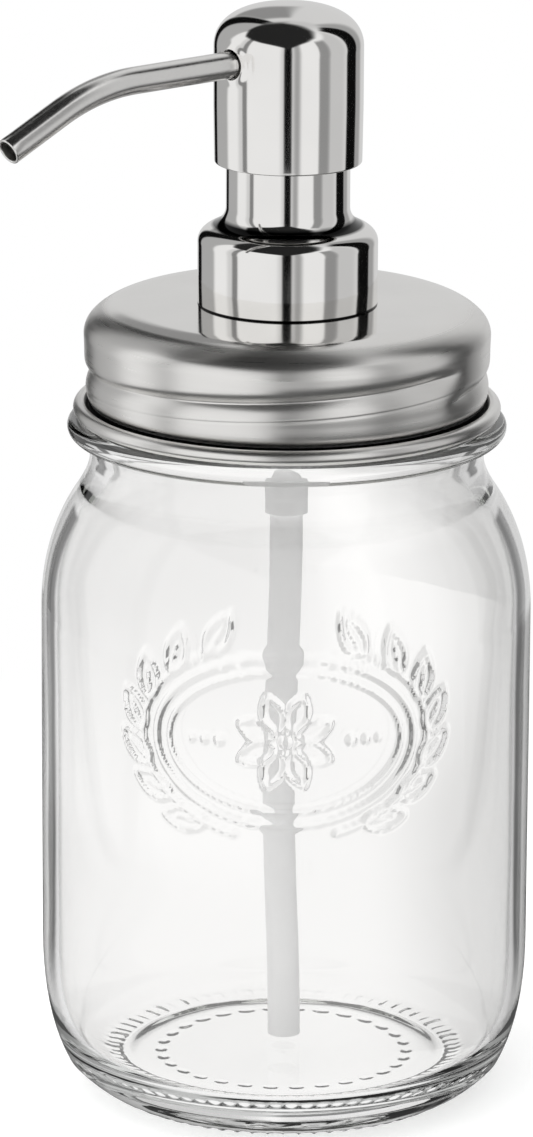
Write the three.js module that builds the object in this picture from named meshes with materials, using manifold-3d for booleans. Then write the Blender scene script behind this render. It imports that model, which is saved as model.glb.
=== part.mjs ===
// A soap pump dispenser: a glass preserving jar whose steel screw lid carries a hand pump.
// Millimetres, +Z up. The origin is the middle of the jar's underside, and the jar's front faces -Y.
// The jar's and the lid's threads rise alike, so the lid lifts as it unscrews.

import * as THREE from 'three';
import { mergeVertices } from 'three/addons/utils/BufferGeometryUtils.js';
import Module from 'manifold-3d';

const wasm = await Module();
wasm.setup();

// Clearances shared by all the pieces
const clearance = 0.3;
const runningGap = 0.2;
const pressGap = 0.1;
const cutOverrun = 1;

// Jar body
const jarRadius = 43;
const jarWall = 2.8;
const footRadius = 29.5;
const footRise = 1;
const heelInset = 4.2;
const heelHeight = 6;
const heelTaperHeight = 28;
const floorThickness = 7;
const floorDome = 0.5;
const innerHeelInset = 3.4;
const innerHeelRise = 3;
const innerHeelRound = 5.8;
const shoulderStart = 88;
const shoulderMidInset = 5.6;
const shoulderMidRise = 20.4;
const shoulderBendRise = 11.6;
const shoulderRise = 27.5;
const neckBendDrop = 2.85;
const neckInset = 8.6;

// Jar mouth
const beadRadius = 2.05;
const beadOverhang = 1.9;
const beadRise = 5;
const finishInset = 1.8;
const finishWall = 2.8;
const finishHeight = 17.5;
const rimRound = 0.7;

// Screw thread shared by jar and lid: it rises one lead a turn, and the lid is free after its sweep
const threadLead = 10;
const threadStarts = 2;
const threadSweep = 190;
const threadStartAngle = 140;
const threadRise = 11.6;
const threadDrop = 2.4;
const jarThreadSweep = 150;
const jarThreadDepth = 1.4;
const jarThreadWidth = 1.8;
const threadSlack = 0.9;
const threadEngagement = 0.6;
const lidThreadWidth = 2.2;

// Lid
const lidWall = 0.5;
const lidCrown = 4.8;
const lidFlatInset = 9.4;
const lidEdgeInset = 2.9;
const lidEdgeDrop = 1.7;
const lidBandDrop = 5.2;
const lidGrooveWidth = 1.6;
const lidGrooveDepth = 1.1;
const curlRadius = 1.3;
const curlOverhang = 0.6;

// Lid liner
const linerOverlap = 0.4;
const linerThickness = 1.8;

// Threaded bush, its gasket and the closure screwed on it
const bushRootRadius = 11.2;
const bushThreadDepth = 0.9;
const bushWall = 1.6;
const bushFlangeRadius = 16.5;
const bushFlangeThickness = 2;
const bushNeckHeight = 9.5;
const bushThreadPitch = 3;
const bushThreadTurns = 2;
const bushThreadWidth = 1.1;
const gasketThickness = 1;
const gasketWidth = 3.4;
const closureLip = 1;

// Collar and neck shell
const collarRadius = 15.65;
const collarEdgeRound = 2.1;
const steelWall = 0.55;
const neckShellRadius = 10.75;
const neckFilletHeight = 2.4;
const neckShellHeight = 16.15;

// Housing
const barrelRadius = 7.4;
const barrelWall = 1.2;
const barrelLength = 36.9;
const housingFlangeThickness = 1.2;
const housingConeHeight = 3;
const socketWall = 0.75;
const socketLength = 7.9;
const socketDepth = 6.7;
const inletHoleRadius = 1.5;
const seatWidth = 1.4;
const seatHeight = 2;
const seatDrop = 2.4;

// Inlet valve
const inletBallRadius = 2;
const inletBallLift = 1.2;
const cageFloorThickness = 1.4;
const cageRimHeight = 1.8;
const cageBore = 1.4;

// Lock ring
const lockSkirtDepth = 6.4;
const lockSkirtWall = 1.3;
const lockFlangeRadius = 8.9;
const lockFlangeThickness = 1.5;
const lockTowerHeight = 3;
const lockTowerWall = 1.8;

// Stem, piston and outlet valve
const stemRadius = 3.8;
const stemFoot = 2.2;
const stemSocketGap = 5.3;
const stemChamberRadius = 2.3;
const stemBore = 1.4;
const plugBore = 1;
const plugDepth = 2.6;
const plugSeatHeight = 0.9;
const plugFlange = 1.2;
const outletBallRadius = 1.75;
const outletBallLift = 1.2;
const pistonHeight = 5;
const pistonTopGap = 0.4;
const pistonLipWall = 0.8;
const pistonLipDepth = 1.6;

// Return spring
const springRadius = 4.4;
const springWire = 0.9;
const springTurns = 6;
const springStepsPerTurn = 8;
const springSides = 5;

// Dip tube
const dipRadius = 2.85;
const dipWall = 0.7;
const dipFloorGap = 1.3;
const dipBow = 1.1;
const dipSteps = 12;

// Head: its stroke and the gaps that are left when it is pressed right down
const headStroke = 9.5;
const headStopGap = 1.95;
const coreStopGap = 1.2;
const bossStopGap = 1.2;
const headRadius = 12.95;
const headRimInset = 0.15;
const headHeight = 27.6;
const domeHeight = 7.4;
const domeBulge = 1.3;
const domeCornerInset = 0.15;
const coreTopDrop = 3.4;
const coreBossRadius = 6.2;

// Spout
const spoutAzimuth = 220;
const spoutRadius = 2.35;
const spoutWall = 0.5;
const spoutRise = 3.1;
const spoutStart = 5.2;
const spoutBendStart = 34;
const spoutBendRadius = 38;
const spoutBendAngle = 25;
const spoutReach = 61;
const spoutBendSteps = 7;
const sealSection = 0.55;
const sealSetback = 3;

// Embossed ornament on the jar's front: an oval between two sprays of leaves
const embossHeight = 0.6;
const embossRoot = 0.6;
const embossWidth = 1.3;
const ovalCentreHeight = 76;
const ovalHalfWidth = 23;
const ovalHalfHeight = 15;
const ovalSteps = 32;
const leafLength = 8;
const leafWidth = 3.6;
const leafCount = 7;
const leafGap = 2.6;
const leafFan = 116;
const leafLean = 62;
const leafWidthShares = [0.08, 0.85, 1, 0.6, 0.08];

// Facets
const wideFacets = 36;
const shellFacets = 28;
const smallFacets = 20;
const tubeSides = 10;
const curveSteps = 3;

// Radii that follow from the sizes above
const heelRadius = jarRadius - heelInset;
const neckRadius = jarRadius - neckInset;
const finishRadius = neckRadius - finishInset;
const throatRadius = finishRadius - finishWall;
const lidInnerRadius = finishRadius + jarThreadDepth + threadSlack;
const lidRadius = lidInnerRadius + lidWall;
const bushThreadRadius = bushRootRadius + bushThreadDepth;
const closureBore = bushThreadRadius + clearance;
const closureRadius = collarRadius - steelWall - clearance;
const housingFlangeRadius = bushRootRadius - runningGap;
const barrelBore = barrelRadius - barrelWall;
const chamberRadius = inletHoleRadius + seatWidth;
const dipSocketBore = dipRadius + pressGap;
const coreRadius = headRadius - steelWall - clearance;
const plugRadius = springRadius + springWire / 2;

// Heights that follow from the sizes above, from the jar's base up to the head
const shoulderMidHeight = shoulderStart + shoulderMidRise;
const shoulderEnd = shoulderStart + shoulderRise;
const beadHeight = shoulderEnd + beadRise;
const rimHeight = beadHeight + finishHeight;
const jarThreadHeight = beadHeight + threadRise;
const lidTop = rimHeight + lidCrown;
const lidBandTop = lidTop - lidBandDrop;
const curlHeight = beadHeight + beadRadius + clearance + curlRadius;
const gasketTop = lidTop - lidWall;
const bushFlangeTop = gasketTop - gasketThickness;
const bushTop = lidTop + bushNeckHeight;
const housingGasketTop = bushTop + gasketThickness;
const housingTop = housingGasketTop + housingFlangeThickness;
const closureTop = housingTop + closureLip;
const collarTop = closureTop + clearance + steelWall;
const neckShellTop = collarTop + neckShellHeight;
const barrelBottom = housingTop - barrelLength;
const socketTop = barrelBottom - housingConeHeight;
const socketBottom = socketTop - socketLength;
const socketStop = socketBottom + socketDepth;
const seatBottom = barrelBottom - seatDrop;
const inletBallHeight = ballHeight(inletBallRadius, inletHoleRadius, seatBottom, seatWidth, seatHeight);
const chamberTop = inletBallHeight + inletBallRadius + inletBallLift;
const cageTop = chamberTop + cageFloorThickness;
const lockTop = housingTop + lockFlangeThickness;
const pistonTop = housingTop - lockSkirtDepth - pistonTopGap;
const stemBottom = pistonTop - pistonHeight - stemFoot;
const plugTop = stemBottom + plugDepth;
const plugSeatBottom = plugTop - plugSeatHeight;
const plugSeatWidth = stemChamberRadius - pressGap - plugBore;
const outletBallHeight = ballHeight(
  outletBallRadius, plugBore, plugSeatBottom, plugSeatWidth, plugSeatHeight,
);
const stemChamberTop = outletBallHeight + outletBallRadius + outletBallLift;
const dipBottom = floorThickness + floorDome + dipFloorGap;
const headBottom = collarTop + headStroke + headStopGap;
const headTop = headBottom + headHeight;
const domeBottom = headTop - domeHeight;
const coreUnderside = neckShellTop + headStroke + coreStopGap;
const coreBossBottom = lockTop + lockTowerHeight + headStroke + bossStopGap;
const spoutHeight = coreUnderside + spoutRise;
const stemTop = spoutHeight - stemSocketGap;

// How far from the axis the spout's seal lies
const sealPlace = spoutStart + sealSetback;

// Colours and finishes
const glass = finish(0xe8ecec, 0.05, 0);
const steel = finish(0xc9c6c2, 0.18, 1);
const wireSteel = finish(0xb8b8b8, 0.3, 1);
const whitePlastic = finish(0xe9e9e6, 0.45, 0);
const frostedPlastic = finish(0xdfe2e3, 0.5, 0);
const softSeal = finish(0xd8d8d4, 0.8, 0);

function finish(color, roughness, metalness) {
  return new THREE.MeshStandardMaterial({ color, roughness, metalness });
}

const degrees = THREE.MathUtils.degToRad;

// Welds a geometry and drops triangles that have no area left
function welded(geometry) {
  geometry.deleteAttribute('normal');
  geometry.deleteAttribute('uv');
  const merged = mergeVertices(geometry);
  const index = merged.index.array;
  const kept = [];
  for (let i = 0; i < index.length; i += 3) {
    const [a, b, c] = [index[i], index[i + 1], index[i + 2]];
    if (a !== b && b !== c && c !== a) kept.push(a, b, c);
  }
  merged.setIndex(kept);
  return merged;
}

function toSolid(geometry) {
  const merged = welded(geometry);
  const mesh = new wasm.Mesh({
    numProp: 3,
    vertProperties: new Float32Array(merged.attributes.position.array),
    triVerts: new Uint32Array(merged.index.array),
  });
  return new wasm.Manifold(mesh);
}

function toGeometry(solid) {
  const mesh = solid.getMesh();
  const geometry = new THREE.BufferGeometry();
  geometry.setAttribute('position', new THREE.BufferAttribute(mesh.vertProperties, 3));
  geometry.setIndex(new THREE.BufferAttribute(mesh.triVerts, 1));
  geometry.computeVertexNormals();
  return geometry;
}

function signedArea(points) {
  let area = 0;
  points.forEach((p, i) => {
    const q = points[(i + 1) % points.length];
    area += (p.x * q.y - q.x * p.y) / 2;
  });
  return area;
}

// Turns a closed path of (radius, height) round the Z axis
function turned(path, facets = smallFacets) {
  let points = path.getPoints(curveSteps);
  if (signedArea(points) < 0) points = points.reverse();
  if (!points[0].equals(points.at(-1))) points.push(points[0].clone());
  const onAxis = points.findIndex((p) => p.x === 0);
  if (onAxis >= 0) points = openedAtAxis(points);
  const geometry = new THREE.LatheGeometry(points, facets);
  geometry.rotateX(Math.PI / 2);
  return welded(geometry);
}

// A profile that meets the axis starts at its lower end there and stops at its upper end
function openedAtAxis(points) {
  const ring = points.slice(0, -1);
  const start = ring.findIndex((p, i) => p.x === 0 && ring.at(i - 1).x === 0);
  return ring.slice(start).concat(ring.slice(0, start));
}

// A closed path through corners given as [radius, height]
function corners(...list) {
  const path = new THREE.Path();
  path.moveTo(...list[0]);
  list.slice(1).forEach((corner) => path.lineTo(...corner));
  path.lineTo(...list[0]);
  return path;
}

// A ring of rectangular section
function ring(innerRadius, outerRadius, bottom, top, facets = smallFacets) {
  const outline = corners(
    [innerRadius, bottom], [outerRadius, bottom], [outerRadius, top], [innerRadius, top],
  );
  return turned(outline, facets);
}

// A body swept from rings of points, each ring closed and given in order; its ends are capped
function lofted(rings) {
  const count = rings[0].length;
  const positions = rings.flat().flatMap((p) => [p.x, p.y, p.z]);
  const index = [];
  for (let r = 0; r + 1 < rings.length; r++) {
    for (let i = 0; i < count; i++) {
      const next = (i + 1) % count;
      const [a, b] = [r * count + i, r * count + next];
      const [c, d] = [a + count, b + count];
      index.push(a, b, d, a, d, c);
    }
  }
  const last = (rings.length - 1) * count;
  for (let i = 1; i + 1 < count; i++) {
    index.push(0, i + 1, i, last, last + i, last + i + 1);
  }
  const geometry = new THREE.BufferGeometry();
  geometry.setAttribute('position', new THREE.Float32BufferAttribute(positions, 3));
  geometry.setIndex(index);
  return outward(geometry);
}

function outward(geometry) {
  const index = geometry.index.array;
  const position = geometry.attributes.position;
  const [a, b, c] = [0, 1, 2].map(() => new THREE.Vector3());
  let volume = 0;
  for (let i = 0; i < index.length; i += 3) {
    a.fromBufferAttribute(position, index[i]);
    b.fromBufferAttribute(position, index[i + 1]);
    c.fromBufferAttribute(position, index[i + 2]);
    volume += a.dot(b.cross(c));
  }
  if (volume < 0) {
    const flipped = [];
    for (let i = 0; i < index.length; i += 3) flipped.push(index[i], index[i + 2], index[i + 1]);
    geometry.setIndex(flipped);
  }
  return geometry;
}

// A ridge that winds up round the Z axis between its root and crest radii, and fades at both ends
function helixRidge({ root, crest, width, startAngle, sweep, startHeight, lead, facets }) {
  const steps = Math.round((sweep / 360) * facets);
  const rings = [];
  for (let i = 0; i <= steps; i++) {
    const angle = degrees(startAngle + (sweep * i) / steps);
    const height = startHeight + (lead * sweep * i) / steps / 360;
    const atEnd = i === 0 || i === steps;
    const reach = atEnd ? root + (crest - root) / 4 : crest;
    const half = width / 2;
    rings.push([
      onCylinder(root, angle, height - half),
      onCylinder(reach, angle, height - half / 2),
      onCylinder(reach, angle, height + half / 2),
      onCylinder(root, angle, height + half),
    ]);
  }
  return lofted(rings);
}

function onCylinder(radius, angle, height) {
  return new THREE.Vector3(radius * Math.cos(angle), radius * Math.sin(angle), height);
}

function jarOutline() {
  const innerRadius = jarRadius - jarWall;
  const shoulderMidRadius = jarRadius - shoulderMidInset;
  const beadCentreRadius = neckRadius + beadOverhang;
  const path = new THREE.Path();
  path.moveTo(0, 0);
  path.lineTo(footRadius, 0);
  path.quadraticCurveTo((footRadius + heelRadius) / 2, footRise, heelRadius, heelHeight);
  path.quadraticCurveTo(jarRadius, heelTaperHeight / 2, jarRadius, heelTaperHeight);
  path.lineTo(jarRadius, shoulderStart);
  const shoulderBend = shoulderStart + shoulderBendRise;
  path.quadraticCurveTo(jarRadius, shoulderBend, shoulderMidRadius, shoulderMidHeight);
  const neckBend = shoulderEnd - neckBendDrop;
  path.quadraticCurveTo(neckRadius, neckBend, neckRadius, shoulderEnd);
  path.lineTo(neckRadius, beadHeight - beadRadius);
  path.absarc(beadCentreRadius, beadHeight, beadRadius, -Math.PI / 2, Math.PI / 2, false);
  path.lineTo(finishRadius, beadHeight + beadRadius);
  path.lineTo(finishRadius, rimHeight - rimRound);
  path.quadraticCurveTo(finishRadius, rimHeight, finishRadius - rimRound, rimHeight);
  path.lineTo(throatRadius + rimRound, rimHeight);
  path.quadraticCurveTo(throatRadius, rimHeight, throatRadius, rimHeight - rimRound);
  path.lineTo(throatRadius, shoulderEnd);
  const innerMidRadius = shoulderMidRadius - jarWall;
  const innerMidHeight = shoulderMidHeight - jarWall / 2;
  path.quadraticCurveTo(throatRadius, neckBend - jarWall / 2, innerMidRadius, innerMidHeight);
  path.quadraticCurveTo(innerRadius, shoulderBend - jarWall / 2, innerRadius, shoulderStart);
  const innerHeel = innerRadius - innerHeelInset;
  path.lineTo(innerRadius, heelTaperHeight);
  path.quadraticCurveTo(innerRadius, heelTaperHeight / 2, innerHeel, floorThickness + innerHeelRise);
  path.quadraticCurveTo(
    innerHeel - innerHeelRise, floorThickness, innerHeel - innerHeelRound, floorThickness,
  );
  path.lineTo(0, floorThickness + floorDome);
  path.lineTo(0, 0);
  return path;
}

function jarThread(start) {
  return helixRidge({
    root: finishRadius - clearance,
    crest: finishRadius + jarThreadDepth,
    width: jarThreadWidth,
    startAngle: threadStartAngle + (360 / threadStarts) * start,
    sweep: jarThreadSweep,
    startHeight: jarThreadHeight,
    lead: threadLead,
    facets: wideFacets,
  });
}

// A point on or above the jar's front, at an arc length to the right of its middle
function onFront(across, height, rise) {
  return onCylinder(jarSurface(height) + rise, -Math.PI / 2 + across / jarRadius, height);
}

// The jar's outer radius at a height on its straight side or on its shoulder's curve
function jarSurface(height) {
  if (height <= shoulderStart) return jarRadius;
  const lean = 2 * shoulderBendRise;
  const bend = shoulderMidRise - lean;
  const root = Math.sqrt(lean * lean + 4 * bend * (height - shoulderStart));
  const along = (root - lean) / (2 * bend);
  return jarRadius - shoulderMidInset * along * along;
}

// The oval line: a low ridge that runs round and meets itself
function embossedOval() {
  const half = embossWidth / 2;
  const rings = [];
  for (let i = 0; i < ovalSteps; i++) {
    const turn = (2 * Math.PI * i) / ovalSteps;
    const middle = new THREE.Vector2(ovalHalfWidth * Math.cos(turn), ovalHalfHeight * Math.sin(turn));
    const side = new THREE.Vector2(ovalHalfHeight * Math.cos(turn), ovalHalfWidth * Math.sin(turn));
    const outer = middle.clone().add(side.setLength(half));
    const inner = middle.clone().sub(side);
    rings.push([
      onFront(outer.x, ovalCentreHeight + outer.y, -embossRoot),
      onFront(middle.x, ovalCentreHeight + middle.y, embossHeight),
      onFront(inner.x, ovalCentreHeight + inner.y, -embossRoot),
    ]);
  }
  return loopedTube(rings);
}

// One raised leaf beside the oval: a low ridge along its midrib
function embossedLeaf(across, height, lean) {
  const along = new THREE.Vector2(Math.cos(lean), Math.sin(lean));
  const side = new THREE.Vector2(-along.y, along.x);
  const place = (share, offset, rise) => onFront(
    across + along.x * leafLength * share + side.x * offset,
    height + along.y * leafLength * share + side.y * offset,
    rise,
  );
  const rings = leafWidthShares.map((widthShare, i) => {
    const share = i / (leafWidthShares.length - 1);
    const half = (leafWidth * widthShare) / 2;
    const rise = embossHeight * Math.min(1, widthShare * 2);
    return [place(share, half, -embossRoot), place(share, 0, rise), place(share, -half, -embossRoot)];
  });
  return lofted(rings);
}

function glassJar() {
  let solid = toSolid(turned(jarOutline(), wideFacets));
  for (let start = 0; start < threadStarts; start++) solid = solid.add(toSolid(jarThread(start)));
  solid = solid.add(toSolid(embossedOval()));
  for (let i = 0; i < leafCount; i++) {
    const turn = degrees(leafFan * (i / (leafCount - 1) - 1 / 2));
    const across = (ovalHalfWidth + leafGap) * Math.cos(turn);
    const height = ovalCentreHeight + (ovalHalfHeight + leafGap) * Math.sin(turn);
    const lean = turn + degrees(leafLean);
    solid = solid.add(toSolid(embossedLeaf(across, height, lean)));
    solid = solid.add(toSolid(embossedLeaf(-across, height, Math.PI - lean)));
  }
  return toGeometry(solid);
}

function lidOutline() {
  const inner = lidInnerRadius;
  const flatRadius = lidRadius - lidFlatInset;
  const edgeRadius = lidRadius - lidEdgeInset;
  const edgeHeight = lidTop - lidEdgeDrop;
  const crownBend = lidTop - lidEdgeDrop / 8;
  const bandBend = lidTop - lidEdgeDrop - lidEdgeInset / 2;
  const curlCentreRadius = lidRadius + curlOverhang;
  const holeRadius = bushThreadRadius + clearance;
  const path = new THREE.Path();
  path.moveTo(holeRadius, gasketTop);
  path.lineTo(flatRadius, gasketTop);
  path.quadraticCurveTo(
    (flatRadius + edgeRadius) / 2, crownBend - lidWall, edgeRadius - lidWall / 2, edgeHeight - lidWall,
  );
  path.quadraticCurveTo(inner, bandBend - lidWall / 2, inner, lidBandTop);
  path.lineTo(inner, curlHeight - curlRadius);
  path.lineTo(curlCentreRadius, curlHeight - curlRadius);
  path.absarc(curlCentreRadius, curlHeight, curlRadius, -Math.PI / 2, Math.PI / 2, false);
  path.lineTo(lidRadius, curlHeight + curlRadius);
  path.lineTo(lidRadius, lidBandTop);
  path.quadraticCurveTo(lidRadius, bandBend, edgeRadius, edgeHeight);
  path.quadraticCurveTo((flatRadius + edgeRadius) / 2, crownBend, flatRadius, lidTop);
  path.lineTo(holeRadius, lidTop);
  path.lineTo(holeRadius, gasketTop);
  return path;
}

function lidThread(start, root, crest, width) {
  return helixRidge({
    root,
    crest,
    width,
    startAngle: threadStartAngle + (360 / threadStarts) * start,
    sweep: threadSweep,
    startHeight: jarThreadHeight - threadDrop,
    lead: threadLead,
    facets: wideFacets,
  });
}

// The lid's thread is pressed into its wall: a ridge inside, with a groove behind it outside
function screwLid() {
  const ridgeRoot = lidInnerRadius + lidWall / 2;
  const ridgeCrest = lidInnerRadius - threadSlack - threadEngagement;
  let solid = toSolid(turned(lidOutline(), wideFacets));
  for (let start = 0; start < threadStarts; start++) {
    const ridge = lidThread(start, ridgeRoot, ridgeCrest, lidThreadWidth);
    const groove = lidThread(start, lidRadius + clearance, lidRadius - lidGrooveDepth, lidGrooveWidth);
    solid = solid.add(toSolid(ridge)).subtract(toSolid(groove));
  }
  return toGeometry(solid);
}

function lidLiner() {
  const bottom = rimHeight + clearance;
  const inner = throatRadius + clearance;
  return ring(inner, finishRadius + linerOverlap, bottom, bottom + linerThickness, wideFacets);
}

function bushGasket() {
  return ring(bushFlangeRadius - gasketWidth, bushFlangeRadius, bushFlangeTop, gasketTop);
}

// The thread between the bush and the closure; the closure's lies half a pitch above the bush's
function bushThread(root, crest, pitches) {
  return helixRidge({
    root,
    crest,
    width: bushThreadWidth,
    startAngle: 0,
    sweep: 360 * bushThreadTurns,
    startHeight: lidTop + bushThreadWidth + bushThreadPitch * pitches,
    lead: bushThreadPitch,
    facets: smallFacets,
  });
}

function neckBush() {
  const bushFlangeBottom = bushFlangeTop - bushFlangeThickness;
  const bushBore = bushRootRadius - bushWall;
  const body = turned(corners(
    [bushBore, bushFlangeBottom],
    [bushFlangeRadius, bushFlangeBottom],
    [bushFlangeRadius, bushFlangeTop],
    [bushRootRadius, bushFlangeTop],
    [bushRootRadius, bushTop],
    [bushBore, bushTop],
  ));
  const thread = bushThread(bushRootRadius - clearance, bushThreadRadius, 0);
  return toGeometry(toSolid(body).add(toSolid(thread)));
}

function pumpClosure() {
  const body = turned(corners(
    [closureBore, lidTop],
    [closureRadius, lidTop],
    [closureRadius, closureTop - collarEdgeRound],
    [closureRadius - collarEdgeRound, closureTop],
    [lockFlangeRadius + clearance, closureTop],
    [lockFlangeRadius + clearance, housingTop],
    [closureBore, housingTop],
  ));
  const thread = bushThread(closureBore + clearance, bushRootRadius + clearance, 1 / 2);
  return toGeometry(toSolid(body).add(toSolid(thread)));
}

function housingGasket() {
  return ring(barrelRadius + clearance, housingFlangeRadius, bushTop, housingGasketTop);
}

function collarCover() {
  const path = new THREE.Path();
  const neckBase = collarTop + neckFilletHeight;
  path.moveTo(collarRadius - steelWall, lidTop);
  path.lineTo(collarRadius, lidTop);
  path.lineTo(collarRadius, collarTop - collarEdgeRound);
  path.quadraticCurveTo(collarRadius, collarTop, collarRadius - collarEdgeRound, collarTop);
  path.quadraticCurveTo(neckShellRadius, collarTop, neckShellRadius, neckBase);
  path.lineTo(neckShellRadius, neckShellTop);
  path.lineTo(neckShellRadius - steelWall, neckShellTop);
  path.lineTo(neckShellRadius - steelWall, neckBase);
  const underside = collarTop - steelWall;
  path.quadraticCurveTo(neckShellRadius - steelWall, underside, collarRadius - collarEdgeRound, underside);
  path.quadraticCurveTo(
    collarRadius - steelWall, underside, collarRadius - steelWall, collarTop - collarEdgeRound,
  );
  path.lineTo(collarRadius - steelWall, lidTop);
  return turned(path, shellFacets);
}

function pumpHousing() {
  const socketRadius = dipSocketBore + socketWall;
  return turned(corners(
    [dipSocketBore, socketBottom],
    [socketRadius, socketBottom],
    [socketRadius, socketTop],
    [barrelRadius, barrelBottom],
    [barrelRadius, housingGasketTop],
    [housingFlangeRadius, housingGasketTop],
    [housingFlangeRadius, housingTop],
    [barrelBore, housingTop],
    [barrelBore, chamberTop],
    [chamberRadius, chamberTop],
    [chamberRadius, seatBottom + seatHeight],
    [inletHoleRadius, seatBottom],
    [inletHoleRadius, socketStop],
    [dipSocketBore, socketStop],
  ));
}

// The height of a ball's middle when it rests in a conical seat that is given by its hole's radius,
// its lower edge, and how wide and how high it is
function ballHeight(ballRadius, holeRadius, bottom, width, height) {
  const slope = Math.atan2(height, width);
  return bottom + (ballRadius + runningGap) / Math.cos(slope) - holeRadius * Math.tan(slope);
}

function ball(radius, height) {
  const geometry = new THREE.SphereGeometry(radius, tubeSides, tubeSides / 2);
  geometry.rotateX(Math.PI / 2);
  geometry.translate(0, 0, height);
  return welded(geometry);
}

function ballCage() {
  const outer = barrelBore - pressGap;
  const springSeat = springRadius - springWire;
  return turned(corners(
    [cageBore, chamberTop],
    [outer, chamberTop],
    [outer, cageTop],
    [springSeat, cageTop],
    [springSeat - runningGap, cageTop + cageRimHeight],
    [cageBore, cageTop + cageRimHeight],
  ));
}

function lockRing() {
  const stemHole = stemRadius + runningGap;
  const skirtRadius = barrelBore - pressGap;
  return turned(corners(
    [skirtRadius - lockSkirtWall, housingTop - lockSkirtDepth],
    [skirtRadius, housingTop - lockSkirtDepth],
    [skirtRadius, housingTop],
    [lockFlangeRadius, housingTop],
    [lockFlangeRadius, lockTop],
    [stemHole + lockTowerWall, lockTop],
    [stemHole + lockTowerWall, lockTop + lockTowerHeight],
    [stemHole, lockTop + lockTowerHeight],
    [stemHole, housingTop],
    [skirtRadius - lockSkirtWall, housingTop],
  ));
}

function stem() {
  return turned(corners(
    [stemChamberRadius, stemBottom],
    [stemRadius, stemBottom],
    [stemRadius, stemTop],
    [stemBore, stemTop],
    [stemBore, stemChamberTop],
    [stemChamberRadius, stemChamberTop - stemChamberRadius / 2],
  ));
}

function stemPlug() {
  const outer = stemChamberRadius - pressGap;
  return turned(corners(
    [plugBore, stemBottom - plugFlange],
    [plugRadius, stemBottom - plugFlange],
    [plugRadius, stemBottom],
    [outer, stemBottom],
    [outer, plugTop],
    [plugBore, plugSeatBottom],
  ));
}

function piston() {
  const bore = stemRadius + pressGap;
  const outer = barrelBore - runningGap;
  const bottom = pistonTop - pistonHeight;
  return turned(corners(
    [bore, bottom + pistonLipDepth],
    [outer - pistonLipWall, bottom],
    [outer, bottom],
    [outer - pistonLipWall / 2, (bottom + pistonTop) / 2],
    [outer, pistonTop],
    [outer - pistonLipWall, pistonTop],
    [bore, pistonTop - pistonLipDepth],
  ));
}

// The spring's wire is one unbroken tube between the cage and the plug
function returnSpring() {
  const low = cageTop + springWire / 2;
  const high = stemBottom - plugFlange - springWire / 2;
  const steps = springTurns * springStepsPerTurn;
  const rings = [];
  const centres = [];
  for (let i = 0; i <= steps; i++) {
    const angle = (2 * Math.PI * i) / springStepsPerTurn;
    const height = low + ((high - low) * i) / steps;
    centres.push(onCylinder(springRadius, angle, height));
    const section = [];
    for (let side = 0; side < springSides; side++) {
      const turn = (2 * Math.PI * (side + 0.5)) / springSides - Math.PI / 2;
      const wire = springWire / 2;
      section.push(onCylinder(springRadius + wire * Math.cos(turn), angle, height + wire * Math.sin(turn)));
    }
    rings.push(section);
  }
  console.log(`return spring: least gap to itself ${leastTurnGap(centres).toFixed(2)} mm`);
  return lofted(rings);
}

// The least free distance between one turn of the wire and the next
function leastTurnGap(centres) {
  let least = Infinity;
  centres.forEach((centre, i) => {
    centres.slice(i + springStepsPerTurn / 2).forEach((other) => {
      least = Math.min(least, centre.distanceTo(other) - springWire);
    });
  });
  return least;
}

// The dip tube leans and bows a little, so its middle stands off the axis
function dipTube() {
  const top = socketStop;
  const straightEnd = socketBottom - 2 * dipRadius;
  const centre = (height) => {
    const share = Math.min(1, Math.max(0, (straightEnd - height) / (straightEnd - dipBottom)));
    return -dipBow * Math.sin(Math.PI * share) ** 2;
  };
  const outerRings = [];
  const innerRings = [];
  for (let i = 0; i <= dipSteps; i++) {
    const height = top + ((dipBottom - top) * i) / dipSteps;
    const shift = centre(height);
    outerRings.push(circleAt(shift, height, dipRadius));
    innerRings.push(circleAt(shift, height, dipRadius - dipWall));
  }
  return loopedTube(outerRings.concat(innerRings.reverse()));
}

function circleAt(shift, height, radius) {
  const points = [];
  for (let side = 0; side < tubeSides; side++) {
    const angle = (2 * Math.PI * side) / tubeSides;
    points.push(new THREE.Vector3(shift + radius * Math.cos(angle), radius * Math.sin(angle), height));
  }
  return points;
}

// Rings that run down the outside and back up the inside, joined end to end
function loopedTube(rings) {
  const count = rings[0].length;
  const positions = rings.flat().flatMap((p) => [p.x, p.y, p.z]);
  const index = [];
  rings.forEach((_, r) => {
    const below = (r + 1) % rings.length;
    for (let i = 0; i < count; i++) {
      const next = (i + 1) % count;
      const [a, b] = [r * count + i, r * count + next];
      const [c, d] = [below * count + i, below * count + next];
      index.push(a, b, d, a, d, c);
    }
  });
  const geometry = new THREE.BufferGeometry();
  geometry.setAttribute('position', new THREE.Float32BufferAttribute(positions, 3));
  geometry.setIndex(index);
  return outward(geometry);
}

// The spout runs out along +X, then bends down; it is turned to its azimuth afterwards
function spoutRoute() {
  const bend = degrees(spoutBendAngle);
  const bendEnd = spoutBendStart + spoutBendRadius * Math.sin(bend);
  const bendDrop = spoutBendRadius * (1 - Math.cos(bend));
  const lastLeg = spoutReach - bendEnd;
  const route = [[spoutStart, 0, 0]];
  for (let i = 0; i <= spoutBendSteps; i++) {
    const turn = (bend * i) / spoutBendSteps;
    const along = spoutBendStart + spoutBendRadius * Math.sin(turn);
    route.push([along, -spoutBendRadius * (1 - Math.cos(turn)), turn]);
  }
  route.push([spoutReach, -bendDrop - lastLeg * Math.tan(bend), bend]);
  return route;
}

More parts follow.
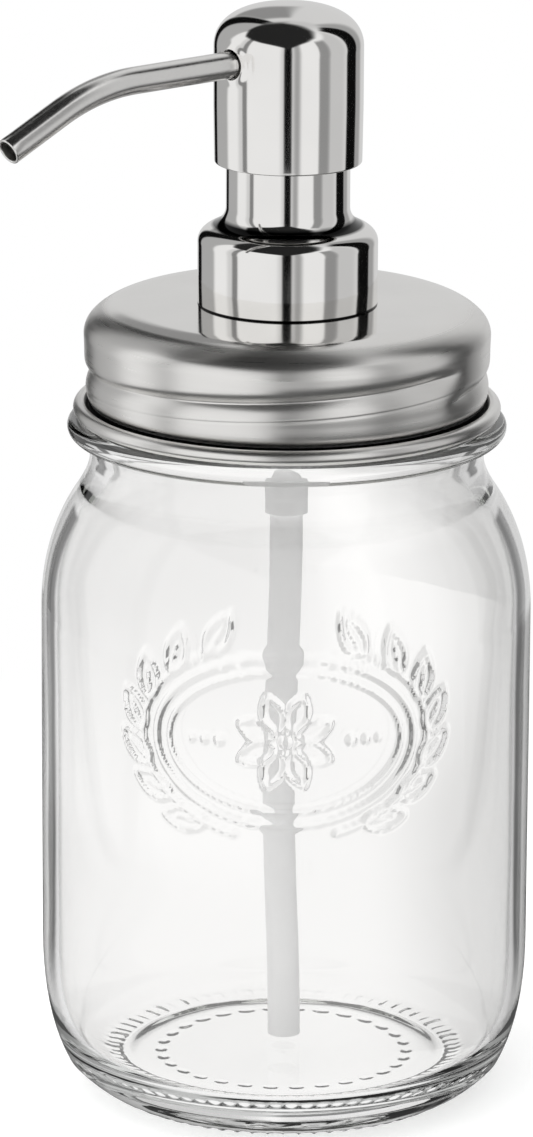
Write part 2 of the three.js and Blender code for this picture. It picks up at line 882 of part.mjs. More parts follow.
function spoutSection([along, drop, turn], radius) {
  const points = [];
  for (let side = 0; side < tubeSides; side++) {
    const angle = (2 * Math.PI * side) / tubeSides;
    const up = radius * Math.cos(angle);
    points.push(new THREE.Vector3(
      along + up * Math.sin(turn), radius * Math.sin(angle), spoutHeight + drop + up * Math.cos(turn),
    ));
  }
  return points;
}

function spoutTube() {
  const route = spoutRoute();
  const outer = route.map((stop) => spoutSection(stop, spoutRadius));
  const inner = route.map((stop) => spoutSection(stop, spoutRadius - spoutWall));
  const geometry = loopedTube(outer.concat(inner.reverse()));
  return geometry.rotateZ(degrees(spoutAzimuth));
}

// A round hole along the spout's first leg, from one distance off the axis to another
function spoutBore(radius, from, to) {
  const geometry = new THREE.CylinderGeometry(radius, radius, to - from, tubeSides);
  geometry.rotateZ(-Math.PI / 2);
  geometry.translate((from + to) / 2, 0, spoutHeight);
  return toSolid(geometry.rotateZ(degrees(spoutAzimuth)));
}

function headShell() {
  const middle = (headBottom + domeBottom) / 2;
  const rimRadius = headRadius - headRimInset;
  const domeCorner = headRadius - domeCornerInset;
  const path = new THREE.Path();
  path.moveTo(rimRadius - steelWall, headBottom);
  path.lineTo(rimRadius, headBottom);
  path.lineTo(headRadius, middle);
  path.lineTo(headRadius, domeBottom);
  path.bezierCurveTo(headRadius, domeBottom + domeBulge, domeCorner, headTop, 0, headTop);
  path.lineTo(0, headTop - steelWall);
  path.bezierCurveTo(
    domeCorner - steelWall, headTop - steelWall,
    headRadius - steelWall, domeBottom + domeBulge,
    headRadius - steelWall, domeBottom,
  );
  path.lineTo(headRadius - steelWall, middle);
  path.lineTo(rimRadius - steelWall, headBottom);
  const hole = spoutBore(spoutRadius + clearance, headRadius / 2, headRadius + cutOverrun);
  return toGeometry(toSolid(turned(path, shellFacets)).subtract(hole));
}

function headCore() {
  const stemSocket = stemRadius + pressGap;
  const seat = spoutStart - clearance;
  const bore = spoutRadius + clearance;
  const sealRoom = sealSection + clearance;
  const body = turned(corners(
    [stemSocket, coreBossBottom],
    [coreBossRadius, coreBossBottom],
    [coreBossRadius, coreUnderside],
    [coreRadius, coreUnderside],
    [coreRadius, domeBottom],
    [coreBossRadius, headTop - coreTopDrop],
    [0, headTop - coreTopDrop],
    [0, spoutHeight + stemBore],
    [stemBore, spoutHeight],
    [stemBore, stemTop],
    [stemSocket, stemTop],
  ));
  const channel = spoutBore(stemBore, 0, seat + cutOverrun);
  const spoutSocket = spoutBore(bore, seat, coreRadius + cutOverrun);
  const groove = spoutBore(bore + sealSection + sealRoom, sealPlace - sealRoom, sealPlace + sealRoom);
  return toGeometry(toSolid(body).subtract(channel).subtract(spoutSocket).subtract(groove));
}

function spoutSeal() {
  const path = new THREE.Path();
  path.absarc(spoutRadius + clearance + sealSection, 0, sealSection, 0, 2 * Math.PI, false);
  const geometry = turned(path, tubeSides);
  geometry.rotateY(Math.PI / 2);
  geometry.translate(sealPlace, 0, spoutHeight);
  return geometry.rotateZ(degrees(spoutAzimuth));
}

function piece(name, geometry, material) {
  geometry.computeVertexNormals();
  const mesh = new THREE.Mesh(geometry, material);
  mesh.name = name;
  return mesh;
}

const dispenser = new THREE.Group();

const jarAndLid = new THREE.Group();
jarAndLid.add(
  piece('glass_jar', glassJar(), glass),
  piece('lid_liner', lidLiner(), softSeal),
  piece('screw_lid', screwLid(), steel),
  piece('bush_gasket', bushGasket(), softSeal),
  piece('neck_bush', neckBush(), whitePlastic),
);

const pump = new THREE.Group();
pump.add(
  piece('pump_closure', pumpClosure(), whitePlastic),
  piece('collar_cover', collarCover(), steel),
  piece('housing_gasket', housingGasket(), softSeal),
  piece('pump_housing', pumpHousing(), frostedPlastic),
  piece('lock_ring', lockRing(), whitePlastic),
  piece('ball_cage', ballCage(), whitePlastic),
  piece('inlet_ball', ball(inletBallRadius, inletBallHeight), wireSteel),
  piece('return_spring', returnSpring(), wireSteel),
  piece('dip_tube', dipTube(), frostedPlastic),
);

const plunger = new THREE.Group();
plunger.add(
  piece('piston', piston(), softSeal),
  piece('stem', stem(), whitePlastic),
  piece('stem_plug', stemPlug(), whitePlastic),
  piece('outlet_ball', ball(outletBallRadius, outletBallHeight), wireSteel),
);

const head = new THREE.Group();
head.add(
  piece('head_core', headCore(), whitePlastic),
  piece('head_shell', headShell(), steel),
  piece('spout_seal', spoutSeal(), softSeal),
  piece('spout_tube', spoutTube(), steel),
);

dispenser.add(jarAndLid, pump, plunger, head);

export default dispenser;
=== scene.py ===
import math

import bpy
import numpy as np
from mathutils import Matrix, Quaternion, Vector


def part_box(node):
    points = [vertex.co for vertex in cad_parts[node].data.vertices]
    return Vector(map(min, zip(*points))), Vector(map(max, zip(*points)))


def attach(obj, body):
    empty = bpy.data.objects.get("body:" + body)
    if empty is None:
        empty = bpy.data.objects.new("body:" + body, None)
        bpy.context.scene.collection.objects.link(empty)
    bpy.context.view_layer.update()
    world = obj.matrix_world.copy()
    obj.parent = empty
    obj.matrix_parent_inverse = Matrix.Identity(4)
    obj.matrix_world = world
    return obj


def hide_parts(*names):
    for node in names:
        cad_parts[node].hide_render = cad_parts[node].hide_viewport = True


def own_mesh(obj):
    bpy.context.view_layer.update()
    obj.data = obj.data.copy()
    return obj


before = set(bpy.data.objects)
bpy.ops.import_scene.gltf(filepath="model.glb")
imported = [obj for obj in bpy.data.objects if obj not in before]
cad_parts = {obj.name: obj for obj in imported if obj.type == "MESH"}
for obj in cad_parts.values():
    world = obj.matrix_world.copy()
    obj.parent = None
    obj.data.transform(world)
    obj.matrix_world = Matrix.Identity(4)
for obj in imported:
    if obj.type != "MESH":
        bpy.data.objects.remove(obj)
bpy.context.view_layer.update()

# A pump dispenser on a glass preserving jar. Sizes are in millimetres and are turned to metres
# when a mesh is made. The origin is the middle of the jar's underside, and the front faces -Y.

MM = 0.001


def span(node):
    """The lowest and highest corner of a CAD node, in millimetres."""
    low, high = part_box(node)
    return low / MM, high / MM


_, jar_high = span("glass_jar")
lid_low, lid_high = span("screw_lid")
collar_low, collar_high = span("collar_cover")
head_low, head_high = span("head_shell")
_, spout_high = span("spout_tube")
housing_low, housing_high = span("pump_housing")
dip_low, dip_high = span("dip_tube")

# Jar body
JAR_RADIUS = jar_high.x
JAR_WALL = 2.8
FOOT_RADIUS = 29.5
FOOT_START, FOOT_BEND, FOOT_RISE = 28.8, 28.0, 1.0
PUNT_RISE = 0.4
PUNT_BEND, PUNT_END, PUNT_LIP = 26.0, 27.4, 0.12
HEEL_RADIUS = JAR_RADIUS - 4.2
HEEL_HEIGHT = 6.0
HEEL_TAPER = 28.0
FLOOR = 7.0
FLOOR_DOME = 0.5
INNER_HEEL = JAR_RADIUS - JAR_WALL - 3.4
INNER_HEEL_RISE = 3.0
INNER_HEEL_ROUND = 5.8
# The first ring of points round the axis
POLE_RING = 1.5

# Jar shoulder and mouth
RIM = jar_high.z
RIM_ROUND = 0.7
BEAD_HEIGHT = RIM - 17.5
BEAD_RADIUS = 2.05
BEAD_HALF_HEIGHT = 1.65
BEAD_MIDDLE, BEAD_FOOT, BEAD_FILLET = 1.9, 0.9, 0.5
SHOULDER_END = BEAD_HEIGHT - 5.0
SHOULDER_START = SHOULDER_END - 27.5
# Where the shoulder's two curves meet, and the height that each one bends at
SHOULDER_INSET, SHOULDER_RISE = 5.6, 20.4
SHOULDER_BEND, NECK_BEND = 11.6, 2.85
INNER_BEND_DROP = 1.4
NECK_RADIUS = JAR_RADIUS - 8.6
FINISH_RADIUS = NECK_RADIUS - 1.8
FINISH_FILLET = 0.6
THROAT_RADIUS = FINISH_RADIUS - 2.8

# Screw thread of jar and lid, with two starts
THREAD_STARTS = (140.0, 320.0)
THREAD_LEAD = 10.0
THREAD_HEIGHT = BEAD_HEIGHT + 11.6
THREAD_DROP = 2.4
LID_SWEEP = 190.0
JAR_SWEEP = 150.0
JAR_THREAD_FADE = 14.0
JAR_THREAD_DEPTH = 1.4
JAR_THREAD_HALF = 1.1
JAR_THREAD_CREST = 0.45

# Ornament on the jar's front: two oval lines, a wreath of leaves, a flower and a few dots
EMBOSS = 0.6
FRONT_LOW, FRONT_HIGH, FRONT_TURN = 57.0, 101.0, 45.0
FRONT_DEPTH = 2.4
OVAL_HEIGHT = 76.0
OVAL_WIDE = 23.0
OVAL_HIGH = 15.0
OVAL_GAP = 2.5
OVAL_LINE, INNER_OVAL_LINE = 0.62, 0.46
STEM_FROM, STEM_TO, STEM_LINE = -70, 66, (0.62, 0.3)
LEAVES = 7
LEAF_LENGTH = 8.0
LEAF_WIDTH = 3.9
LEAF_GAP = 2.6
LEAF_FAN = 116.0
LEAF_LEAN = 62.0
LEAF_LINE, RIB_LINE, RIB_SHARE = 0.42, (0.4, 0.22), 0.72
PETALS = 8
PETAL_START, PETAL_LENGTH, PETAL_WIDTH, PETAL_LINE = 2.0, 6.6, 3.7, 0.38
# Each dot's distance from the middle, and its radius
DOTS = [(0.0, 1.15), (11.4, 0.95), (14.0, 0.75), (16.2, 0.6)]
# How far a line's edge slopes inside and outside its half width
LINE_INSIDE, LINE_OUTSIDE = 0.3, 0.16

# Base ring of ridges, and the short marks inside it
BASE_RIDGES = 72
BASE_RIDGE_DEPTH = 1.2
RIDGE_START, RIDGE_END, RIDGE_UNEVEN, RIDGE_FADE = 29.2, 34.4, 1.2, 3.5
RIDGE_SHALLOW, RIDGE_SHALLOW_SPAN = 0.7, (31.5, 34.0)
BASE_MARKS = 30
BASE_MARK_RADIUS = 22.0
BASE_MARK_DEPTH = 0.25
BASE_MARK_BAND = 2.0
BASE_MARK_STRETCH, BASE_MARK_FLAT, BASE_MARK_EDGE = 1.5, 0.55, 0.95

# Lid
LID_TOP = lid_high.z
LID_OUTER = 35.4
LID_WALL = 0.5
LID_HOLE = 12.4
GROOVE_DEPTH = 1.1
GROOVE_ABOVE = 1.1
GROOVE_BELOW = 3.1
GROOVE_FADE = 16.0
FINE_LINE_DEPTH = 0.07
FINE_LINE_HALF = 0.22
CURL_RADIUS = 1.3
CURL_HEIGHT = lid_low.z + CURL_RADIUS
CURL_MIDDLE = lid_high.x - CURL_RADIUS
# The crevice between the curl and the wall: radius, and height above the curl's middle
CREVICE = [(34.62, 0.35), (34.5, 1.0)]

# Collar and neck
STEEL_WALL = 0.55
COLLAR_RADIUS = collar_high.x
COLLAR_TOP = collar_high.z - 16.15
COLLAR_LIP = 0.15
CREST_RISE, CREST_INSET, CREST_DROP = 0.1, 2.25, 2.7
SHOULDER_SLOPE = 0.42
NECK_SHELL = 10.75
NECK_FOOT = COLLAR_TOP + 3.5

# Head and spout
HEAD_RADIUS = head_high.x
HEAD_BOTTOM = head_low.z
HEAD_TOP = head_high.z
HEAD_POLE = 0.4
DOME_HEIGHT = 7.4
DOME_BULGE = 1.3
DOME_CORNER = 0.15
RIM_INSET = 0.15
SPOUT_AZIMUTH = 220.0
SPOUT_RADIUS = 2.35
SPOUT_WALL = 0.5
SPOUT_LIP = 0.16
SPOUT_HEIGHT = spout_high.z - SPOUT_RADIUS
SPOUT_START = 5.2
SPOUT_BEND_START = 34.0
SPOUT_BEND_RADIUS = 38.0
SPOUT_BEND = 25.0
SPOUT_REACH = 61.0
SPOUT_HOLE = SPOUT_RADIUS + 0.35
DRILL_START, DRILL_END = 8, 16
PUNCH_DEPTH = 0.18
PUNCH_REACH = 1.5
PUNCH_TURN = 0.6

# Dip tube
TUBE_RADIUS, TUBE_WALL = 2.85, 0.7
TUBE_BOW = 1.1
TUBE_STRAIGHT = 5.7

# Return spring
SPRING_RADIUS = 4.4
SPRING_WIRE = 0.9
SPRING_TURNS = 6
SPRING_GAP = 0.05


class Outline:
    """A path of (radius, height) points, drawn piece by piece."""

    def __init__(self, radius, height):
        self.points = [(radius, height)]

    def line(self, radius, height, gap=None):
        r0, z0 = self.points[-1]
        count = 1 if gap is None else max(1, math.ceil(math.hypot(radius - r0, height - z0) / gap))
        for i in range(1, count + 1):
            share = i / count
            self.points.append((r0 + (radius - r0) * share, z0 + (height - z0) * share))
        return self

    def quad(self, cr, cz, radius, height, count):
        r0, z0 = self.points[-1]
        for i in range(1, count + 1):
            t = i / count
            a, b, c = (1 - t) ** 2, 2 * t * (1 - t), t * t
            self.points.append((a * r0 + b * cr + c * radius, a * z0 + b * cz + c * height))
        return self

    def cubic(self, ar, az, br, bz, radius, height, count):
        r0, z0 = self.points[-1]
        for i in range(1, count + 1):
            t = i / count
            a, b, c, d = (1 - t) ** 3, 3 * t * (1 - t) ** 2, 3 * t * t * (1 - t), t ** 3
            self.points.append((
                a * r0 + b * ar + c * br + d * radius, a * z0 + b * az + c * bz + d * height))
        return self

    def arc(self, cr, cz, radius, start, end, count, tall=None):
        for i in range(count + 1):
            angle = math.radians(start + (end - start) * i / count)
            self.points.append((cr + radius * math.cos(angle), cz + (tall or radius) * math.sin(angle)))
        return self

    def array(self):
        """The points, without those that lie on the one before them."""
        kept = [self.points[0]]
        for p in self.points[1:]:
            if math.hypot(p[0] - kept[-1][0], p[1] - kept[-1][1]) > 1e-4:
                kept.append(p)
        return np.array(kept)


def through(points, count):
    """A smooth curve through the given points (centripetal Catmull-Rom)."""
    p = np.array([points[0], *points, points[-1]], float)
    p[0], p[-1] = 2 * p[1] - p[2], 2 * p[-2] - p[-3]
    gaps = np.hypot(*np.diff(p, axis=0).T) ** 0.5
    knots = np.concatenate([[0], np.cumsum(gaps)])
    out = [tuple(p[1])]
    for i in range(1, len(p) - 2):
        k0, k1, k2, k3 = knots[i - 1:i + 3]
        for t in np.linspace(k1, k2, count + 1)[1:]:
            a = (k1 - t) / (k1 - k0) * p[i - 1] + (t - k0) / (k1 - k0) * p[i]
            b = (k2 - t) / (k2 - k1) * p[i] + (t - k1) / (k2 - k1) * p[i + 1]
            c = (k3 - t) / (k3 - k2) * p[i + 1] + (t - k2) / (k3 - k2) * p[i + 2]
            d = (k2 - t) / (k2 - k0) * a + (t - k0) / (k2 - k0) * b
            e = (k3 - t) / (k3 - k1) * b + (t - k1) / (k3 - k1) * c
            out.append(tuple((k2 - t) / (k2 - k1) * d + (t - k1) / (k2 - k1) * e))
    return out


def smooth(edge0, edge1, x):
    """0 up to the first edge, 1 from the second, and an even curve between them."""
    t = np.clip((x - edge0) / (edge1 - edge0), 0, 1)
    return t * t * (3 - 2 * t)


def even_angles(count):
    return np.arange(count) * 2 * np.pi / count


def mesh_of(name, verts, faces, sharp):
    """A mesh in metres from points in millimetres, facing out, smooth but for its sharp edges."""
    verts = np.asarray(verts, float) * MM
    a, b, c = (verts[[f[i] for f in faces]] for i in (0, 1, 2))
    volume = np.einsum("ij,ij->i", a, np.cross(b, c)).sum()
    if volume < 0:
        faces = [f[::-1] for f in faces]
    mesh = bpy.data.meshes.new(name)
    mesh.from_pydata(verts.tolist(), [], faces)
    mesh.shade_smooth()
    mesh.set_sharp_from_angle(angle=math.radians(sharp))
    mesh.update()
    return mesh


def lattice(name, grid, closed, sharp=35.0):
    """A tube-like mesh from rows of points, each row a ring. With closed, the last row meets the
    first; without, each end is closed at the ring's middle."""
    rows, cols = grid.shape[:2]
    verts = grid.reshape(-1, 3).tolist()
    index = np.arange(rows * cols).reshape(rows, cols)
    lower, upper = (index, np.roll(index, -1, 0)) if closed else (index[:-1], index[1:])
    quads = np.stack([lower, np.roll(lower, -1, 1), np.roll(upper, -1, 1), upper], -1).reshape(-1, 4)
    faces = quads.tolist()
    if not closed:
        for row, flip in ((0, False), (rows - 1, True)):
            verts.append(grid[row].mean(0).tolist())
            ring, pole = index[row].tolist(), len(verts) - 1
            for i in range(cols):
                tri = [pole, ring[(i + 1) % cols], ring[i]]
                faces.append(tri[::-1] if flip else tri)
    return mesh_of(name, verts, faces, sharp)


def turned_grid(profile, angles, push):
    """Points of a profile turned round Z. push(radius, height, angle), if it isn't None, gives each
    point's own step outward along the profile's normal."""
    r, z = profile[:, 0][:, None], profile[:, 1][:, None]
    if push is not None:
        along = np.gradient(profile, axis=0)
        length = np.hypot(along[:, 0], along[:, 1])[:, None]
        nr, nz = along[:, 1][:, None] / length, -along[:, 0][:, None] / length
        step = push(r + 0 * angles, z + 0 * angles, angles + 0 * r)
        r, z = r + nr * step, z + nz * step
    r, z = r + 0 * angles, z + 0 * angles
    return np.stack([r * np.cos(angles), r * np.sin(angles), z], -1)


def turned(name, outline, segments, closed=True, sharp=35.0, push=None):
    """A body of revolution. A path that isn't closed starts and ends on the axis."""
    profile = outline.array()
    if not closed:
        profile = profile[1:-1]
    elif np.hypot(*(profile[0] - profile[-1])) < 1e-3:
        profile = profile[:-1]
    return lattice(name, turned_grid(profile, even_angles(segments), push), closed, sharp)


def in_scene(name, data):
    """A new object in the scene."""
    obj = bpy.data.objects.new(name, data)
    bpy.context.scene.collection.objects.link(obj)
    return obj


def piece(name, mesh, body, material, node):
    """Puts a mesh in the scene as a piece of the object that stands for the named CAD node."""
    obj = in_scene(name, mesh)
    obj.data.materials.append(material)
    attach(obj, body)
    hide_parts(node)
    return obj


class Finish:
    """A material, or the world, and its nodes."""

    def __init__(self, name, kind=bpy.data.materials, out="ShaderNodeOutputMaterial"):
        self.material = kind.new(name)
        self.material.use_nodes = True
        self.tree = self.material.node_tree
        self.tree.nodes.clear()
        self.out = self.tree.nodes.new(out)

    def node(self, kind, inputs=None, **settings):
        made = self.tree.nodes.new(kind)
        for key, value in settings.items():
            setattr(made, key, value)
        for key, value in (inputs or {}).items():
            if isinstance(value, bpy.types.NodeSocket):
                self.tree.links.new(value, made.inputs[key])
            else:
                made.inputs[key].default_value = value
        return made

    def noise(self, stretch, detail, roughness=0.5):
        """Noise in object space, finer along the axes whose stretch is larger."""
        place = self.node("ShaderNodeTexCoord").outputs["Object"]
        mapped = self.node("ShaderNodeMapping", {"Vector": place, "Scale": stretch})
        made = self.node("ShaderNodeTexNoise", {
            "Vector": mapped.outputs["Vector"], "Scale": 1.0, "Detail": detail, "Roughness": roughness})
        return made.outputs["Fac"]

    def ranged(self, value, low, high, from_low=0.3, from_high=0.7, curve="LINEAR"):
        """A value turned from one range to another; noise lies between 0.3 and 0.7."""
        ends = {"From Min": from_low, "From Max": from_high, "To Min": low, "To Max": high}
        made = self.node("ShaderNodeMapRange", {"Value": value, **ends}, interpolation_type=curve)
        return made.outputs["Result"]

    def blend(self, share, low, high):
        """One colour at share 0, another at 1."""
        return self.node("ShaderNodeMix", {0: share, 6: low, 7: high}, data_type="RGBA").outputs[2]

    def bump(self, height, distance, normal=None):
        inputs = {"Height": height, "Distance": distance, "Strength": 1.0}
        if normal is not None:
            inputs["Normal"] = normal
        return self.node("ShaderNodeBump", inputs).outputs["Normal"]

    def maths(self, operation, first, second):
        return self.node("ShaderNodeMath", {0: first, 1: second}, operation=operation).outputs[0]

    def band(self, low, high, radius=None, soft=0.06):
        """1 between two heights, and inside a radius if one is given, 0 elsewhere, in millimetres."""
        place = self.node("ShaderNodeTexCoord").outputs["Object"]
        height = self.node("ShaderNodeSeparateXYZ", {"Vector": place}).outputs["Z"]
        inside = self.maths(
            "MULTIPLY", self.ranged(height, 0, 1, (low - soft) * MM, (low + soft) * MM),
            self.ranged(height, 1, 0, (high - soft) * MM, (high + soft) * MM))
        if radius is None:
            return inside
        level = self.node("ShaderNodeVectorMath", {0: place, 1: (1, 1, 0)}, operation="MULTIPLY")
        away = self.node("ShaderNodeVectorMath", {0: level.outputs["Vector"]}, operation="LENGTH")
        near = self.ranged(away.outputs["Value"], 1, 0, (radius - soft) * MM, (radius + soft) * MM)
        return self.maths("MULTIPLY", inside, near)

    def either(self, share, first, second):
        """One shader at share 0, another at 1."""
        return self.node("ShaderNodeMixShader", {0: share, 1: first, 2: second}).outputs["Shader"]

    def glow(self, strength):
        made = self.node("ShaderNodeEmission", {"Color": (1, 1, 1, 1), "Strength": strength})
        return made.outputs["Emission"]

    def show(self, shader):
        self.tree.links.new(shader, self.out.inputs["Surface"])

    def principled(self, inputs):
        return self.node("ShaderNodeBsdfPrincipled", inputs).outputs["BSDF"]


# Painted shade: the black that the painted dark bands of shade and dark reflection are given
PAINTED_SHADE_BLACK = (0.012, 0.012, 0.012, 1)
BRUSH_DEPTH = 4e-7


def steel(name, tone, rough, brushing, grain, wave=6e-6, painted_dark_bands=(), satin=None):
    """Polished stainless steel: fine brushing, a slow waviness and a little tone change. Painted shade
    and painted dark reflections are painted dark bands, black between their heights and inside their
    radius. Satin is the roughness below a height."""
    f = Finish(name)
    lines = f.noise(brushing, detail=4.0, roughness=0.6)
    cloud = f.noise((90, 90, 90), detail=2.0)
    colour = f.blend(f.ranged(cloud, 0, 1), [*(t * 0.97 for t in tone), 1], (*tone, 1))
    # Painted shade and painted dark reflection: each band paints black over the steel's colour
    for painted_dark_band in painted_dark_bands:
        colour = f.blend(f.band(*painted_dark_band), colour, PAINTED_SHADE_BLACK)
    normal = f.bump(lines, BRUSH_DEPTH * grain, normal=f.bump(cloud, wave))
    finish = f.ranged(lines, rough * (1 - 0.3 * grain), rough * (1 + 0.3 * grain))
    if satin is not None:
        satin_rough, height = satin
        more = f.maths("MULTIPLY", f.band(-1, height, soft=0.5), satin_rough / rough - 1)
        finish = f.maths("MULTIPLY", finish, f.maths("ADD", more, 1.0))
    f.show(f.principled({
        "Base Color": colour, "Metallic": 1.0, "Normal": normal, "Roughness": finish}))
    return f.material


def plastic(name, low, high, rough, extra=None):
    """Moulded plastic with a faint grain and a little unevenness of tone."""
    f = Finish(name)
    fine = f.noise((2600, 2600, 2600), detail=2.0)
    cloud = f.noise((220, 220, 220), detail=3.0)
    inputs = {
        "Base Color": f.blend(f.ranged(cloud, 0, 1), (*low, 1), (*high, 1)),
        "Roughness": f.ranged(fine, rough * 0.85, rough * 1.15),
        "Normal": f.bump(fine, 4e-6)}
    f.show(f.principled({**inputs, **(extra or {})}))
    return f.material


# After this many turns a ray goes straight on through the glass
GLASS_DEPTH = 4.5


def clear_glass(name):
    """Pressed glass with slow waves from the mould. Lamps shine through to what is inside."""
    f = Finish(name)
    wave = f.noise((70, 70, 26), detail=2.0)
    grain = f.noise((900, 900, 900), detail=2.0)
    normal = f.bump(grain, 3e-7, normal=f.bump(wave, 3e-5))
    glass_shader = f.principled({
        "Base Color": (0.99, 0.987, 0.982, 1), "Roughness": f.ranged(grain, 0.0, 0.02),
        "IOR": 1.5, "Transmission Weight": 1.0, "Normal": normal})
    path = f.node("ShaderNodeLightPath").outputs
    deep = f.maths("GREATER_THAN", path["Ray Depth"], GLASS_DEPTH)
    straight = f.maths("MAXIMUM", path["Is Shadow Ray"], deep)
    clear = f.node("ShaderNodeBsdfTransparent", {"Color": (0.96, 0.965, 0.96, 1)}).outputs["BSDF"]
    f.show(f.either(straight, glass_shader, clear))
    return f.material


# Brushing is finest across the axes with the large numbers: along Z on the pump, round the lid.
# Painted shade darkens a line at the collar's foot and the lid's crevice, and a painted dark reflection
# darkens the fillet of the neck.
STEEL_TONE = (0.93, 0.92, 0.905)
UPRIGHT_BRUSHING = (2600, 2600, 70)
# Painted shade: a black line at the collar's foot
COLLAR_FOOT_PAINTED_SHADE = (collar_low.z - 1, collar_low.z + 0.3)
# Painted dark reflection: a black ring in the fillet of the neck
NECK_FILLET_PAINTED_REFLECTION = (COLLAR_TOP - 0.2, COLLAR_TOP + 1.5, NECK_SHELL + 2.4, 0.3)
# Painted shade: a black band in the crevice above the lid's curl
LID_CREVICE_PAINTED_SHADE = (CURL_HEIGHT - 0.2, CURL_HEIGHT + 1.4, 35.4)
pump_steel = steel("pump_steel", STEEL_TONE, rough=0.07, brushing=UPRIGHT_BRUSHING, grain=1.0)
spout_steel = steel("spout_steel", STEEL_TONE, rough=0.2, brushing=(1500, 1500, 1500), grain=0.6)
collar_steel = steel(
    "collar_steel", STEEL_TONE, rough=0.07, brushing=UPRIGHT_BRUSHING, grain=1.0,
    painted_dark_bands=[COLLAR_FOOT_PAINTED_SHADE, NECK_FILLET_PAINTED_REFLECTION])
lid_steel = steel(
    "lid_steel", (0.92, 0.91, 0.89), rough=0.11, brushing=(60, 60, 2600), grain=0.35, wave=1.2e-5,
    painted_dark_bands=[LID_CREVICE_PAINTED_SHADE], satin=(0.3, LID_TOP - 0.7))
wire_steel = steel("wire_steel", (0.62, 0.62, 0.62), rough=0.25, brushing=(400, 400, 400), grain=1.0)
white_plastic = plastic("white_plastic", (0.84, 0.84, 0.82), (0.9, 0.9, 0.88), rough=0.42)
# The faint emission stands for the light that frosted plastic lets through
frosted_plastic = plastic(
    "frosted_plastic", (0.84, 0.84, 0.84), (0.88, 0.88, 0.88), rough=0.4,
    extra={"Emission Color": (1, 1, 1, 1), "Emission Strength": 0.12})
silicone = plastic("silicone", (0.8, 0.8, 0.78), (0.86, 0.86, 0.84), rough=0.6)
glass = clear_glass("clear_glass")


def near_line(s, z, points, closed):
    """The distance from each place to a line of points, and how far along the line it is nearest."""
    points = np.asarray(points, float)
    ends = np.roll(points, -1, 0) if closed else points[1:]
    starts = points if closed else points[:-1]
    best, place = np.full(s.shape, np.inf), np.zeros(s.shape)
    for i, ((ax, ay), (bx, by)) in enumerate(zip(starts, ends)):
        dx, dy = bx - ax, by - ay
        share = np.clip(((s - ax) * dx + (z - ay) * dy) / (dx * dx + dy * dy), 0, 1)
        distance = np.hypot(s - ax - dx * share, z - ay - dy * share)
        closer = distance < best
        best = np.where(closer, distance, best)
        place = np.where(closer, (i + share) / len(starts), place)
    return best, place


def ellipse_line(wide, high, start=0.0, end=360.0, count=72):
    turns = np.radians(np.linspace(start, end, count + 1))
    return np.stack([wide * np.cos(turns), OVAL_HEIGHT + high * np.sin(turns)], -1)


def leaf_outline(length, width, base, lean):
    """A pointed leaf's outline and its midrib."""
    count = 14
    shares = np.linspace(0, 1, count + 1)
    half = width / 2 * np.sin(np.pi * shares ** 0.85) ** 0.8
    along = np.array([math.cos(lean), math.sin(lean)])
    across = np.array([-along[1], along[0]])
    middle = np.array(base) + shares[:, None] * length * along
    edge = np.concatenate([middle + half[:, None] * across, (middle - half[:, None] * across)[-2:0:-1]])
    return edge, middle[:int(count * RIB_SHARE) + 1]


def ornament_strokes():
    """The raised lines on the jar's front, each as (points, closed, half width at start and end)."""
    strokes = [
        (ellipse_line(OVAL_WIDE, OVAL_HIGH)[:-1], True, (OVAL_LINE, OVAL_LINE)),
        (ellipse_line(OVAL_WIDE - OVAL_GAP, OVAL_HIGH - OVAL_GAP)[:-1], True,
         (INNER_OVAL_LINE, INNER_OVAL_LINE))]
    for side in (1, -1):
        stem = ellipse_line(OVAL_WIDE + LEAF_GAP, OVAL_HIGH + LEAF_GAP, STEM_FROM, STEM_TO, 40)
        stem[:, 0] *= side
        strokes.append((stem, False, STEM_LINE))
        for i in range(LEAVES):
            turn = math.radians(LEAF_FAN * (i / (LEAVES - 1) - 0.5))
            base = ((OVAL_WIDE + LEAF_GAP) * math.cos(turn) * side,
                    OVAL_HEIGHT + (OVAL_HIGH + LEAF_GAP) * math.sin(turn))
            lean = turn + math.radians(LEAF_LEAN)
            lean = lean if side > 0 else math.pi - lean
            edge, rib = leaf_outline(LEAF_LENGTH, LEAF_WIDTH, base, lean)
            strokes.append((edge, True, (LEAF_LINE, LEAF_LINE)))
            strokes.append((rib, False, RIB_LINE))
    for k in range(PETALS):
        lean = 2 * math.pi * (k + 0.5) / PETALS
        base = (PETAL_START * math.cos(lean), OVAL_HEIGHT + PETAL_START * math.sin(lean))
        edge, _ = leaf_outline(PETAL_LENGTH, PETAL_WIDTH, base, lean)
        strokes.append((edge, True, (PETAL_LINE, PETAL_LINE)))
    for across, radius in DOTS:
        for side in ((1, -1) if across else (1,)):
            dot = [(side * across - 0.01, OVAL_HEIGHT), (side * across + 0.01, OVAL_HEIGHT)]
            strokes.append((dot, False, (radius, radius)))
    return strokes


def relief(s, z):
    """How far the ornament stands out at each place on the jar's front."""
    height = np.zeros(s.shape)
    for points, closed, (start, end) in ornament_strokes():
        points = np.asarray(points)
        reach = max(start, end) + LINE_INSIDE
        low, high = points.min(0) - reach, points.max(0) + reach
        inside = (s > low[0]) & (s < high[0]) & (z > low[1]) & (z < high[1])
        if not inside.any():
            continue
        distance, place = near_line(s[inside], z[inside], points, closed)
        half = start + (end - start) * place
        top = 1 - smooth(half - LINE_INSIDE, half + LINE_OUTSIDE, distance)
        height[inside] = np.maximum(height[inside], top)
    return EMBOSS * height


